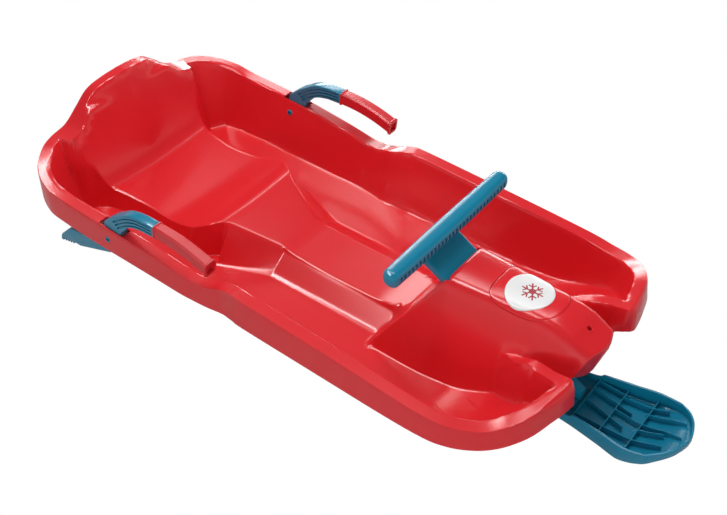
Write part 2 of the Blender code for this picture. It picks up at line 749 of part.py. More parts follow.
def axis_frame():
    """Frame on the steering axis: local X runs forward and down, local Z up from the neck."""
    return Matrix.Translation((AXIS_X, 0, AXIS_Z)) @ Matrix.Rotation(AXIS_SLOPE, 4, "Y")


AXIS = axis_frame()


def along_axis(x):
    """Distance along the steering axis at which it crosses a station."""
    return (x - AXIS_X) / math.cos(AXIS_SLOPE)


def cap_outline(grow):
    """Plan outline of the hood cover: straight at the rear, drawn to a blunt tip."""
    long = CAP_TIP_X - CAP_REAR_X
    half = [
        (0.00, 0.00), (0.00, 0.62), (0.035, 0.90), (0.12, 1.02), (0.30, 1.00),
        (0.48, 0.90), (0.64, 0.78), (0.80, 0.64), (0.91, 0.45), (0.98, 0.20), (1.0, 0.0),
    ]
    pts = np.array([(CAP_REAR_X + u * long, v * CAP_HALF) for u, v in half])
    centre = np.array([CAP_REAR_X + 0.45 * long, 0.0])
    away = pts - centre
    size = np.linalg.norm(away, axis=1)[:, None]
    pts = centre + away * (1 + grow / size)
    pts[0, 1] = 0.0
    pts[-1, 1] = 0.0
    mirror = pts[::-1][1:-1] * np.array([1, -1])
    return np.concatenate([pts, mirror])


def badge_outline(grow):
    """Plan outline of the badge: a disc drawn out a little at the front."""
    out = []
    for k in range(32):
        turn = 2 * math.pi * k / 32
        u = math.cos(turn)
        reach_x = 0.5 * BADGE_LENGTH + grow
        reach_y = (0.5 * BADGE_WIDTH + grow) * (1 - 0.16 * u)
        out.append((BADGE_X + reach_x * u, reach_y * math.sin(turn)))
    return np.array(out)


def fitted_plate(name, outline, bottom, top, shares):
    """A plate that follows the hood's surface between two heights over it."""
    centre = outline.mean(axis=0) * np.array([1, 0])
    layers = []
    for rise in (top, bottom):
        pts = [centre[None, :]] + [centre + (outline - centre) * s for s in shares]
        pts = np.concatenate(pts)
        layers.append(np.column_stack([pts, surface(pts[:, 0], pts[:, 1]) + rise]))
    n = len(outline)
    size = len(layers[0])
    faces = []
    for side in (0, 1):
        o = side * size
        faces += [(o, o + 1 + i, o + 1 + (i + 1) % n) for i in range(n)]
        for r in range(len(shares) - 1):
            a = o + 1 + r * n
            faces += [(a + i, a + (i + 1) % n, a + n + (i + 1) % n) for i in range(n)]
            faces += [(a + i, a + n + (i + 1) % n, a + n + i) for i in range(n)]
    a = 1 + (len(shares) - 1) * n
    faces += [(a + i, a + (i + 1) % n, a + size + (i + 1) % n, a + size + i) for i in range(n)]
    return add_mesh(name, np.concatenate(layers), faces)


# Hull shell, with a way for the neck as it turns
opening_half = math.hypot(NECK_HALF, 0.5 * NECK_THICK) + 0.5 * OPENING_GAP
opening_rise = 0.5 * NECK_THICK * math.cos(STEER_TURN) + NECK_HALF * math.sin(STEER_TURN) + OPENING_GAP
hull = solid_sheet("hull_shell", *tub_sheet(), WALL, HULL_FACES)
cutters = [
    prism("cap_gap", cap_outline(0.0), HOOD_SHOULDER_Z - 0.030, HOOD_TOP_Z + 0.02, True),
    box("neck_gap", (-OPENING_BEHIND, -opening_half, -opening_rise), (OPENING_AHEAD, opening_half, opening_rise),
        True, AXIS),
]
for s in (1, -1):
    cutters.append(cross_pin("pin_gap", PIN_X, PIN_Z, PIN_RADIUS + FIT, s * (LEVER_Y - 0.030),
                             s * (LEVER_Y + 0.030), 20, True))
    slot = 0.5 * LEVER_WIDE + LEVER_GAP
    cutters.append(box("lever_gap", (SLOT_REAR_X, s * LEVER_Y - slot, PIN_Z + 0.012),
                       (SLOT_FRONT_X, s * LEVER_Y + slot, SHOULDER_Z), True))
tow = [(TOW_X + a, b) for a, b in ring_points(TOW_RADIUS, 12)]
cutters.append(prism("tow_gap", tow, HOOD_SHOULDER_Z - 0.040, HOOD_TOP_Z + 0.01, True))
for cutter in cutters:
    apply_boolean(hull, cutter, "DIFFERENCE", "MANIFOLD")


def keel(side):
    """A runner rib under the seat, from the ground up into the seat's skin."""
    xs = np.linspace(BACK_FOOT_X + 0.030, SEAT_FOOT_X - 0.012, 12)
    y = side * 0.5 * (GROOVE_INNER + GROOVE_OUTER)
    verts = []
    for x in xs:
        lift = 0.012 * np.clip((BACK_FOOT_X + 0.070 - x) / 0.04, 0, 1) ** 2
        top = min(float(surface(x, abs(y) + d)) for d in (-0.003, 0.0, 0.003)) - 0.5 * WALL
        for dy, z in ((-0.0025, lift), (0.0025, lift), (0.0025, top), (-0.0025, top)):
            verts.append((x, y + dy, z))
    rings = [verts[4 * i:4 * i + 4] for i in range(len(xs))]
    return loft("keel", rings, True)


for s in (1, -1):
    apply_boolean(hull, keel(s), "UNION", "MANIFOLD")
tidy(hull)
finish(hull, "hull_shell", RED, 0.28)

# Hood cover and badge
cap = fitted_plate("hood_cap", cap_outline(-SEAM), -WALL, 0.0, (0.35, 0.7, 1.0))
recess = fitted_plate("recess", badge_outline(FIT), -BADGE_SUNK, 0.01, (0.5, 1.0))
apply_boolean(cap, recess, "DIFFERENCE")
finish(cap, "hood_cap", RED, 0.28)
badge = fitted_plate("badge_plate", badge_outline(0.0), 1.5 * FIT - BADGE_SUNK, 1.5 * FIT - BADGE_SUNK + BADGE_THICK, (0.5, 1.0))
finish(badge, "badge_plate", WHITE, 0.35)

# Bearing plates inside the hood, each with a bush on the steering axis


def bearing_outline(x0, x1):
    """Section of the hood's hollow that fits at both faces of a plate."""
    zs = np.linspace(BEARING_FOOT_Z, HOOD_TOP_Z - 0.016, 7)
    side = []
    for z in zs:
        ys = np.linspace(0.0, 0.12, 481)
        fit = 0.12
        for x in (x0, x1):
            under = surface(np.full(ys.shape, x), ys)
            slope = np.gradient(under, ys)
            room = under - (WALL + BEARING_FIT) * np.sqrt(1 + np.clip(slope, -6, 6) ** 2)
            fit = min(fit, float(ys[room <= z].min()))
        side.append((fit, z))
    return side + [(-y, z) for y, z in side[::-1]]


def bearing_plate(name, x):
    outline = bearing_outline(x, x + BEARING_THICK)
    plate = loft(name, [[(px, y, z) for y, z in outline] for px in (x, x + BEARING_THICK)])
    hole = tube("hole", SHAFT_RADIUS + 2 * FIT + BUSH_WALL, along_axis(x) - 0.03, along_axis(x) + 0.05, AXIS, 20, True)
    apply_boolean(plate, hole, "DIFFERENCE")
    return finish(plate, name, DARK_RED, 0.4)


def bush(name, x):
    mid = along_axis(x + 0.5 * BEARING_THICK)
    ring = tube(name, SHAFT_RADIUS + FIT + BUSH_WALL, mid - 0.5 * BUSH_LENGTH, mid + 0.5 * BUSH_LENGTH, AXIS)
    hole = tube("hole", SHAFT_RADIUS + FIT, mid - BUSH_LENGTH, mid + BUSH_LENGTH, AXIS, 20, True)
    apply_boolean(ring, hole, "DIFFERENCE")
    return finish(ring, name, STEEL, 0.4)


bearing_plate("rear_bearing_plate", REAR_BEARING_X)
bearing_plate("front_bearing_plate", FRONT_BEARING_X)
bush("rear_bush", REAR_BEARING_X)
bush("front_bush", FRONT_BEARING_X)

# Handle bar


def bar_form(name, grow, guide=False):
    """Handle bar as rings across the tub: a gull-winged tube with round ends."""
    rings = []
    for u in np.sin(np.linspace(-0.5, 0.5, 27) * math.pi):
        y = u * (BAR_HALF + grow)
        bend = (abs(y) / BAR_HALF) ** 2
        x = BAR_X + BAR_SWEEP * bend
        z = BAR_Z + BAR_RISE * bend
        past = max(0.0, (abs(y) - (BAR_HALF - 0.4 * BAR_THICK)) / (0.4 * BAR_THICK + grow))
        round_off = math.sqrt(max(0.0, 1 - past * past)) * 0.94 + 0.06
        ring = []
        for k in range(16):
            turn = 2 * math.pi * k / 16
            c, s = math.cos(turn), math.sin(turn)
            ring.append((x + (0.5 * (BAR_DEEP - BAR_TAPER * bend) + grow) * round_off * math.copysign(abs(c) ** 0.8, c), y,
                         z + (0.5 * BAR_THICK + grow) * round_off * math.copysign(abs(s) ** 0.8, s)))
        rings.append(ring)
    return loft(name, rings, guide)


bar = bar_form("steering_bar", 0.0)
for k in range(COMB_COUNT):
    y = (k - 0.5 * (COMB_COUNT - 1)) * COMB_PITCH
    bend = (abs(y) / BAR_HALF) ** 2
    front = BAR_X + BAR_SWEEP * bend + 0.5 * (BAR_DEEP - BAR_TAPER * bend)
    mid_z = BAR_Z + BAR_RISE * bend
    tooth = box("tooth", (front - COMB_DEEP - 0.002, y - 0.5 * COMB_WIDE, mid_z - 0.5 * BAR_THICK - 0.002),
                (front + 0.004, y + 0.5 * COMB_WIDE, mid_z - 0.0040), True)
    apply_boolean(bar, tooth, "DIFFERENCE")

# Steering column: flat neck, riser under the bar, round shaft with a collar, gusset and foot
BAR_LOCAL = AXIS.inverted() @ Vector((BAR_X, 0, BAR_Z))


def rounded_section(half_y, half_z, corner):
    pts = []
    for cy, cz, start in ((1, 1, 0), (-1, 1, 90), (-1, -1, 180), (1, -1, 270)):
        for k in range(4):
            turn = math.radians(start + 30 * k)
            pts.append((cy * (half_y - corner) + corner * math.cos(turn),
                        cz * (half_z - corner) + corner * math.sin(turn)))
    return pts


neck_rings = []
for s, half_y, half_z in (
        (-NECK_UP, NECK_HALF - 0.003, 0.5 * NECK_THICK - 0.002),
        (-NECK_UP + 0.003, NECK_HALF, 0.5 * NECK_THICK),
        (NECK_DOWN - 0.012, NECK_HALF, 0.5 * NECK_THICK),
        (NECK_DOWN, NECK_HALF - 0.010, 0.5 * NECK_THICK + 0.001),
        (NECK_DOWN + 0.012, SHAFT_RADIUS + 0.002, SHAFT_RADIUS - 0.003)):
    corner = min(0.004, half_z * 0.8)
    neck_rings.append([AXIS @ Vector((s, y, z)) for y, z in rounded_section(half_y, half_z, corner)])
column = loft("steering_column", neck_rings)
riser = box("riser", (BAR_LOCAL.x - 0.5 * SADDLE_LENGTH, -SADDLE_HALF, 0.3 * NECK_THICK),
            (BAR_LOCAL.x + 0.5 * SADDLE_LENGTH, SADDLE_HALF, BAR_LOCAL.z - 0.25 * BAR_THICK), True, AXIS)
apply_boolean(column, riser, "UNION")
apply_boolean(column, bar_form("saddle", FIT, True), "DIFFERENCE")
apply_boolean(column, tube("shaft", SHAFT_RADIUS, NECK_DOWN - 0.004, SHAFT_END, AXIS, 20, True), "UNION")
collar_end = along_axis(REAR_BEARING_X + 0.5 * BEARING_THICK) - 0.5 * BUSH_LENGTH - FIT
apply_boolean(column, tube("collar", COLLAR_RADIUS, collar_end - COLLAR_WIDE, collar_end, AXIS, 20, True), "UNION")
ski_floor = SKI_WALL + 0.0005
foot_low = ski_floor + FIT
foot = box("foot", (FOOT_X - 0.5 * FOOT_LENGTH, -FOOT_HALF, foot_low),
           (FOOT_X + 0.5 * FOOT_LENGTH, FOOT_HALF, foot_low + FOOT_THICK), True)
apply_boolean(column, foot, "UNION")


def axis_height(x, over):
    """Height of a line parallel to the steering axis, at a distance over it."""
    return AXIS_Z - (x - AXIS_X) * math.tan(AXIS_SLOPE) + over / math.cos(AXIS_SLOPE)


gusset_rear = FOOT_X - 0.5 * FOOT_LENGTH + 0.004
gusset_front = FOOT_X + 0.5 * FOOT_LENGTH + 0.0025
gusset = side_prism("gusset", [
    (gusset_rear, foot_low + 0.5 * FOOT_THICK),
    (gusset_front - 0.003, foot_low + 0.5 * FOOT_THICK),
    (gusset_front, foot_low + FOOT_THICK),
    (gusset_front, axis_height(gusset_front, SHAFT_RADIUS)),
    (gusset_rear, axis_height(gusset_rear, SHAFT_RADIUS - 0.0004)),
], -0.006, 0.006, True)
apply_boolean(column, gusset, "UNION")

# Screws that hold the bar on the neck and the ski on the foot


def screw(name, frame, length):
    """A pan-head screw whose head rests at the frame's origin and whose shank runs up local X."""
    rings = []
    for s, radius in ((-0.0026, SCREW_HEAD * 0.7), (-0.0018, SCREW_HEAD), (0.0, SCREW_HEAD),
                      (0.0, SCREW_RADIUS), (length, SCREW_RADIUS)):
        rings.append([frame @ Vector((s, a, b)) for a, b in ring_points(radius, 12)])
    return loft(name, rings)


for s, side_name in ((1, "left"), (-1, "right")):
    at = AXIS @ Matrix.Translation((BAR_LOCAL.x, s * BAR_SCREW_Y, -0.5 * NECK_THICK - FIT))
    frame = at @ Matrix.Rotation(math.radians(-90), 4, "Y")
    length = 0.5 * NECK_THICK + BAR_LOCAL.z - 0.1 * BAR_THICK
    gap = tube("gap", SCREW_RADIUS + FIT, -0.001, length + 0.001, frame, 12, True)
    apply_boolean(column, gap, "DIFFERENCE")
    gap = tube("gap", SCREW_RADIUS + FIT, -0.001, length + 0.001, frame, 12, True)
    apply_boolean(bar, gap, "DIFFERENCE")
    finish(screw("bar_screw_" + side_name, frame, length), "bar_screw_" + side_name, STEEL, 0.35, 1.0, "screw_mat")

# Ski: a tray with a raised, rounded tip and a lattice of ribs


def ski_half(x):
    return through([
        (SKI_REAR_X, SKI_REAR_HALF - 0.010),
        (SKI_REAR_X + 0.010, SKI_REAR_HALF),
        (SKI_WAIST_X - 0.030, SKI_WAIST_HALF - 0.0015),
        (SKI_WAIST_X, SKI_WAIST_HALF + 0.0015),
        (0.5 * (SKI_WAIST_X + SKI_WIDE_X), 0.5 * (SKI_WAIST_HALF + SKI_WIDE_HALF) + 0.0005),
        (SKI_WIDE_X, SKI_WIDE_HALF),
        (SKI_TIP_X - 0.0457, SKI_WIDE_HALF - 0.003),
        (SKI_TIP_X - 0.0254, SKI_WIDE_HALF - 0.015),
        (SKI_TIP_X - 0.0110, SKI_WIDE_HALF - 0.031),
        (SKI_TIP_X - 0.0030, SKI_WIDE_HALF - 0.049),
        (SKI_TIP_X, 0.006),
    ], x)


def ski_bottom(x):
    return through([
        (SKI_REAR_X, 0.004),
        (SKI_REAR_X + 0.015, 0.0),
        (SKI_BEND_X, 0.0),
        (SKI_BEND_X + 0.024, 0.18 * SKI_TIP_BOTTOM),
        (SKI_BEND_X + 0.046, 0.48 * SKI_TIP_BOTTOM),
        (SKI_TIP_X - 0.021, 0.82 * SKI_TIP_BOTTOM),
        (SKI_TIP_X, SKI_TIP_BOTTOM),
    ], x)


def ski_top(x):
    return through([
        (SKI_REAR_X, SKI_REAR_WALL),
        (SKI_WAIST_X - 0.024, SKI_REAR_WALL + 0.0014),
        (SKI_WAIST_X - 0.008, SKI_REAR_WALL + 0.0047),
        (SKI_WAIST_X - 0.002, SKI_REAR_WALL + 0.0047 + SKI_STEP),
        (SKI_WIDE_X, SKI_FRONT_WALL),
        (SKI_TIP_X - 0.0457, SKI_FRONT_WALL + 0.004),
        (SKI_TIP_X - 0.0254, SKI_TIP_TOP - 0.004),
        (SKI_TIP_X, SKI_TIP_TOP),
    ], x)


SKI_X = np.concatenate([
    np.array([0, 0.004, 0.010, 0.024, 0.050, 0.078]) + SKI_REAR_X,
    np.array([-0.024, -0.008, -0.005, -0.002, 0.020]) + SKI_WAIST_X,
    np.linspace(SKI_WAIST_X + 0.040, SKI_BEND_X + 0.040, 7),
    SKI_TIP_X - np.array([0.0400, 0.0320, 0.0254, 0.0180, 0.0110, 0.0060, 0.0030, 0.0]),
])


def ski_rings(xs):
    rings = []
    edge = 0.0012
    for x in xs:
        half = float(ski_half(x))
        low = float(ski_bottom(x))
        high = float(ski_top(x))
        rings.append([(x, -half + edge, low), (x, half - edge, low), (x, half, low + edge + 0.0001),
                      (x, half, high), (x, -half, high), (x, -half, low + edge + 0.0001)])
    return rings


ski = loft("ski", ski_rings(SKI_X))
tray = []
for x in SKI_X[(SKI_X > SKI_REAR_X + SKI_WALL) & (SKI_X < SKI_TIP_X - 0.005)]:
    tray.append(x)
tray = [SKI_REAR_X + SKI_WALL] + tray + [SKI_TIP_X - 0.0050]
cut_rings = []
for x in tray:
    lean = abs(float(ski_half(x + 0.001)) - float(ski_half(x - 0.001))) / 0.002
    half = float(ski_half(x)) - SKI_WALL * math.sqrt(1 + min(lean, 2.2) ** 2)
    low = float(ski_bottom(x)) + ski_floor
    high = float(ski_top(x)) + 0.02
    cut_rings.append([(x, -half, low), (x, half, low), (x, half, high), (x, -half, high)])
apply_boolean(ski, loft("tray", cut_rings, True), "DIFFERENCE")


def ski_rib(x0, y0, x1, y1):
    """A thin rib on the tray's floor between two plan points, a little lower than the wall."""
    start = np.array([x0, y0])
    end = np.array([x1, y1])
    way = (end - start) / np.linalg.norm(end - start)
    off = 0.5 * SKI_RIB * np.array([-way[1], way[0]])
    rings = []
    for t in np.linspace(0, 1, 7):
        c = start + (end - start) * t
        low = float(ski_bottom(c[0])) + 0.4 * SKI_WALL
        high = min(float(ski_top(c[0])) - SKI_RIB_DROP, float(ski_bottom(c[0])) + SKI_RIB_TALL)
        a = c - off
        b = c + off
        rings.append([(a[0], a[1], low), (b[0], b[1], low), (b[0], b[1], high), (a[0], a[1], high)])
    return loft("rib", rings, True)


RIB_ONE_X = FOOT_X + 0.5 * FOOT_LENGTH + 0.0075
RIB_TWO_X = RIB_ONE_X + 0.0465
RIB_THREE_X = RIB_TWO_X + 0.0475
RIB_SIDE_Y = 0.0255
ribs = []
for x in (RIB_ONE_X, RIB_TWO_X, RIB_THREE_X):
    reach = float(ski_half(x)) - 0.4 * SKI_WALL
    ribs.append(ski_rib(x, -reach, x, reach))
for s in (1, -1):
    ribs.append(ski_rib(RIB_ONE_X - 0.001, s * RIB_SIDE_Y, SKI_TIP_X - 0.026, s * (RIB_SIDE_Y + 0.008)))
    ribs.append(ski_rib(RIB_ONE_X, s * 0.040, RIB_THREE_X, s * (SKI_WIDE_HALF - 0.012)))
    ribs.append(ski_rib(RIB_ONE_X, s * 0.010, RIB_THREE_X, -s * 0.016))
for rib in ribs:
    apply_boolean(ski, rib, "UNION")

SKI_SCREW_INSET = 0.010
screw_x = 0.5 * FOOT_LENGTH - SKI_SCREW_INSET
for end, x in (("rear", FOOT_X - screw_x), ("front", FOOT_X + screw_x)):
    for s, side_name in ((1, "left"), (-1, "right")):
        at = Matrix.Translation((x, s * (FOOT_HALF - 0.008), foot_low + FOOT_THICK + FIT))
        frame = at @ Matrix.Rotation(math.radians(90), 4, "Y")
        length = foot_low + FOOT_THICK + FIT - 0.0010
        for target in (column, ski):
            gap = tube("gap", SCREW_RADIUS + FIT, -0.001, length + 0.003, frame, 12, True)
            apply_boolean(target, gap, "DIFFERENCE")
        title = "ski_screw_" + end + "_" + side_name
        finish(screw(title, frame, length), title, STEEL, 0.35, 1.0, "screw_mat")
tidy(ski)
tidy(column)
tidy(bar)
finish(bar, "steering_bar", TEAL, 0.25)
finish(column, "steering_column", TEAL, 0.35)
finish(ski, "ski", TEAL, 0.35)

# Ring that keeps the shaft in its front bush
ring_start = along_axis(FRONT_BEARING_X + 0.5 * BEARING_THICK) + 0.5 * BUSH_LENGTH + FIT
ring = tube("retaining_ring", COLLAR_RADIUS, ring_start, ring_start + 0.003, AXIS)
apply_boolean(ring, tube("hole", SHAFT_RADIUS + FIT, ring_start - 0.01, ring_start + 0.01, AXIS, 20, True), "DIFFERENCE")
finish(ring, "retaining_ring", STEEL, 0.35, 1.0)

# Brake levers: a toothed claw, a hub on its pin, a bowed riser and a tang inside the grip


def lever_outline():
    """Side outline from the claw's tip over the back, round the tang and home along the teeth."""
    pts = [
        (CLAW_TIP_X, CLAW_TIP_Z + 0.0010),
        (CLAW_TIP_X + 0.0060, CLAW_TIP_Z + 0.0150),
        (CLAW_HEAD_X - 0.0240, CLAW_HEAD_Z - 0.0160),
        (CLAW_HEAD_X - 0.0080, CLAW_HEAD_Z - 0.0020),
        (CLAW_HEAD_X + 0.0100, CLAW_HEAD_Z + 0.0030),
        (CLAW_HEAD_X + 0.0400, CLAW_HEAD_Z + 0.0080),
        (PIN_X - 0.0350, PIN_Z - 0.0160),
        (PIN_X - 0.0150, PIN_Z + 0.0010),
        (PIN_X - 0.0100, PIN_Z + 0.0160),
        (ARCH_X - 0.0790, ARCH_Z - 0.0500),
    ]
    pts += [tuple(p) for p in spline([
        (ARCH_X - 0.0510, ARCH_Z - 0.0270),
        (ARCH_X - 0.0355, ARCH_Z - 0.0175),
        (ARCH_X - 0.0175, ARCH_Z - 0.0062),
        (ARCH_X, ARCH_Z),
        (ARCH_X + 0.0175, ARCH_Z + 0.0033),
        (ARCH_X + 0.0365, ARCH_Z + 0.0048),
    ], 2)]
    pts += [
        (GRIP_X + 0.5 * ARCH_TALL * math.sin(GRIP_TILT), GRIP_Z + 0.5 * ARCH_TALL * math.cos(GRIP_TILT)),
        (GRIP_X - 0.5 * ARCH_TALL * math.sin(GRIP_TILT), GRIP_Z - 0.5 * ARCH_TALL * math.cos(GRIP_TILT)),
    ]
    pts += [tuple(p) for p in spline([
        (ARCH_X + 0.0225, ARCH_Z - 0.0210),
        (ARCH_X + 0.0045, ARCH_Z - 0.0250),
        (ARCH_X - 0.0090, ARCH_Z - 0.0300),
        (ARCH_X - 0.0188, ARCH_Z - 0.0365),
        (ARCH_X - 0.0244, ARCH_Z - 0.0434),
        (ARCH_X - 0.0360, ARCH_Z - 0.0540),
        (ARCH_X - 0.0405, ARCH_Z - 0.0610),
    ], 2)]
    pts += [
        (PIN_X + 0.0250, PIN_Z + 0.0080),
        (PIN_X + 0.0150, PIN_Z - 0.0140),
        (PIN_X - 0.0060, PIN_Z - 0.0370),
        (PIN_X - 0.0250, PIN_Z - 0.0457),
        (CLAW_HEAD_X + 0.0140, CLAW_HEAD_Z - 0.0325),
    ]
    heel = np.array([CLAW_HEAD_X - 0.0020, CLAW_HEAD_Z - 0.0370])
    toe = np.array([CLAW_TIP_X + 0.0040, CLAW_TIP_Z])
    way = (toe - heel) / TOOTH_COUNT
    up = np.array([0.0, TOOTH_DEEP])
    for k in range(TOOTH_COUNT):
        pts.append(tuple(heel + way * k + up))
        pts.append(tuple(heel + way * (k + 0.82)))
    pts.append(tuple(toe))
    return pts


def arch_line(offset):
    """A line along the riser and arch, at a distance from its middle."""
    mid = np.array([
        (ARCH_X - 0.0490, ARCH_Z - 0.0445),
        (ARCH_X - 0.0330, ARCH_Z - 0.0315),
        (ARCH_X - 0.0140, ARCH_Z - 0.0205),
        (ARCH_X + 0.0045, ARCH_Z - 0.0125),
        (ARCH_X + 0.0245, ARCH_Z - 0.0088),
        (GRIP_X - 0.0060, GRIP_Z + 0.0005),
    ])
    pts = spline(mid, 3)
    way = np.gradient(pts, axis=0)
    way /= np.linalg.norm(way, axis=1)[:, None]
    return pts + np.column_stack([-way[:, 1], way[:, 0]]) * offset


def groove(offset, side_y):
    """A shallow groove along the arch, cut from one side face."""
    upper = arch_line(offset + 0.5 * GROOVE_WIDE)
    lower = arch_line(offset - 0.5 * GROOVE_WIDE)
    outline = [tuple(p) for p in upper] + [tuple(p) for p in lower[::-1]]
    inward = -math.copysign(GROOVE_DEEP, side_y)
    ys = sorted((side_y + inward, side_y - inward))
    return outline, ys


def tang_frame(s):
    """Frame of the tang: from the grip's end of the arch, a little less steep than the grip."""
    return Matrix.Translation((GRIP_X, s * LEVER_Y, GRIP_Z)) @ Matrix.Rotation(GRIP_TILT - TANG_LIFT, 4, "Y")


def brake_lever(name, s):
    half = 0.5 * LEVER_WIDE
    mid = s * LEVER_Y
    lever = side_prism(name, lever_outline(), mid - half, mid + half)
    hub = cross_pin("hub", PIN_X, PIN_Z, HUB_RADIUS, min(s * HUB_INNER_Y, s * HUB_OUTER_Y),
                    max(s * HUB_INNER_Y, s * HUB_OUTER_Y), 20, True)
    apply_boolean(lever, hub, "UNION")
    tang = box("tang", (-0.004, -0.5 * TANG_WIDE, -0.5 * TANG_TALL),
               (TANG_LENGTH, 0.5 * TANG_WIDE, 0.5 * TANG_TALL), True, tang_frame(s))
    apply_boolean(lever, tang, "UNION")
    for offset in (-GROOVE_PITCH, 0.0, GROOVE_PITCH):
        for face in (1, -1):
            outline, ys = groove(offset, face * half)
            cut = side_prism("groove", outline, mid + ys[0], mid + ys[1], True)
            apply_boolean(lever, cut, "DIFFERENCE")
    apply_boolean(lever, cross_pin("bore", PIN_X, PIN_Z, PIN_RADIUS + FIT, mid - 0.03, mid + 0.03, 20, True),
                  "DIFFERENCE")
    tidy(lever)
    return finish(lever, name, TEAL, 0.35, mat="teal_lever_mat")


def grip_ring(frame, s, wide, tall):
    """An eight-cornered section of the grip, raised by the grip's bow."""
    chamfer = 0.16 * wide
    share = s / GRIP_LENGTH
    bow = 4 * GRIP_BOW * share * (1 - share)
    pts = []
    for y, z in ((0.5 * wide, 0.5 * tall - chamfer), (0.5 * wide - chamfer, 0.5 * tall),
                 (-0.5 * wide + chamfer, 0.5 * tall), (-0.5 * wide, 0.5 * tall - chamfer),
                 (-0.5 * wide, -0.5 * tall + chamfer), (-0.5 * wide + chamfer, -0.5 * tall),
                 (0.5 * wide - chamfer, -0.5 * tall), (0.5 * wide, -0.5 * tall + chamfer)):
        pts.append(frame @ Vector((s, y, z + bow)))
    return pts


def brake_grip(name, s):
    frame = Matrix.Translation((GRIP_X, s * LEVER_Y, GRIP_Z)) @ Matrix.Rotation(GRIP_TILT, 4, "Y")
    flare = 2 * GRIP_FLARE
    rings = []
    body = [(share * GRIP_LENGTH, 0.0) for share in (0.16, 0.30, 0.44, 0.56, 0.70, 0.84)]
    for t, more in [(FIT, flare), (0.0025, flare), (0.0045, 0.0)] + body + [
            (GRIP_LENGTH - 0.005, 0.0), (GRIP_LENGTH - 0.003, flare), (GRIP_LENGTH, flare)]:
        swell = 1 + 0.14 * t / GRIP_LENGTH
        rings.append(grip_ring(frame, t, GRIP_WIDE * swell + more, GRIP_TALL - 0.001 * t / GRIP_LENGTH + more))
    grip = loft(name, rings)
    hole = box("hole", (-0.01, -0.5 * TANG_WIDE - FIT, -0.5 * TANG_TALL - FIT),
               (TANG_LENGTH + FIT, 0.5 * TANG_WIDE + FIT, 0.5 * TANG_TALL + FIT), True, tang_frame(s))
    apply_boolean(grip, hole, "DIFFERENCE")
    return finish(grip, name, DARK_RED, 0.5, mat="grip_mat")


def brake_pin(name, s):
    low, high = sorted((s * PIN_INNER_Y, s * PIN_OUTER_Y))
    pin = cross_pin(name, PIN_X, PIN_Z, PIN_RADIUS, low, high)
    apply_boolean(pin, cross_pin("bore", PIN_X, PIN_Z, PIN_BORE, low - 0.01, high + 0.01, 16, True), "DIFFERENCE")
    return finish(pin, name, TEAL, 0.35, mat="teal_pin_mat")


for side_name, s in (("left", 1), ("right", -1)):
    brake_lever("brake_lever_" + side_name, s)
    brake_grip("brake_grip_" + side_name, s)
    brake_pin("brake_pin_" + side_name, s)
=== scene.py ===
import math

import bmesh
import bpy
import numpy as np
from mathutils import Matrix, Vector


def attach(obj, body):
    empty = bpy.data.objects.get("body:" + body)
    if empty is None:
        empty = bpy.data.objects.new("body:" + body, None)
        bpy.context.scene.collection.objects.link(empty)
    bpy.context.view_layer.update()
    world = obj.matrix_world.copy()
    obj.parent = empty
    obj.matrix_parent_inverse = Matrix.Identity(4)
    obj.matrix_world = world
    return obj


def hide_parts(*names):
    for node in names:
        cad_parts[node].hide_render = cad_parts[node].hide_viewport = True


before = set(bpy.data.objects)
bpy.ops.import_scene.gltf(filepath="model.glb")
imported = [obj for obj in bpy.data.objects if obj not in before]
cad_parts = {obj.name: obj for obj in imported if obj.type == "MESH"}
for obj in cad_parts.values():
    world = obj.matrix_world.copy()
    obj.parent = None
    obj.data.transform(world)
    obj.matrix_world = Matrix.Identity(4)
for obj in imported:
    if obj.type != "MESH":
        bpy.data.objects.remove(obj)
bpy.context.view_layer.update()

# Camera: the photograph's view, from ahead and above on the rider's right, solved from
# the tub's mirror symmetry. It stands square to the picture, with no shift of the lens.
PICTURE_WIDE = 727
FOCAL_PIXELS = 1026.392
SENSOR_WIDE = 36.0
CAMERA_PLACE = (0.837176, -1.013472, 1.280071)
CAMERA_RIGHT = (0.783251, 0.621307, -0.022258)
CAMERA_UP = (-0.408382, 0.54116, 0.735098)
CAMERA_BACK = (0.468767, -0.566677, 0.677595)

camera_data = bpy.data.cameras.new("camera")
camera_data.sensor_width = SENSOR_WIDE
camera_data.lens = FOCAL_PIXELS / PICTURE_WIDE * SENSOR_WIDE
camera_data.clip_end = 50.0
camera = bpy.data.objects.new("camera", camera_data)
bpy.context.scene.collection.objects.link(camera)
camera_turn = Matrix((CAMERA_RIGHT, CAMERA_UP, CAMERA_BACK)).transposed().to_4x4()
camera.matrix_world = Matrix.Translation(CAMERA_PLACE) @ camera_turn
bpy.context.scene.camera = camera
bpy.context.scene.view_settings.view_transform = "Standard"


# Floor and light: a plain white studio floor, set low enough that a turned ski and a pulled
# brake claw stay above it, under broad soft lamps. Two long strips show only in the gloss,
# as the lines of light along the rims.
FLOOR_LEVEL = -0.085
FLOOR_REACH = 8.0
FLOOR_SHADE = 0.62
ROOM_LIGHT = 0.42
GLOW_HEIGHTS = (0.05, 0.32)
GLOW_LEVELS = (1.10, 0.05)


def new_object(name, points, faces):
    """A linked object at the origin, its mesh made from points and the point numbers of each face."""
    mesh = bpy.data.meshes.new(name)
    mesh.from_pydata(points, [], faces)
    obj = bpy.data.objects.new(name, mesh)
    bpy.context.scene.collection.objects.link(obj)
    return obj


def picked(tree, ray, others, chosen):
    """One shader for a kind of ray, and another for all the rest."""
    pick = tree.nodes.new("ShaderNodeMixShader")
    tree.links.new(tree.nodes.new("ShaderNodeLightPath").outputs[ray], pick.inputs[0])
    tree.links.new(others, pick.inputs[1])
    tree.links.new(chosen, pick.inputs[2])
    return pick.outputs[0]


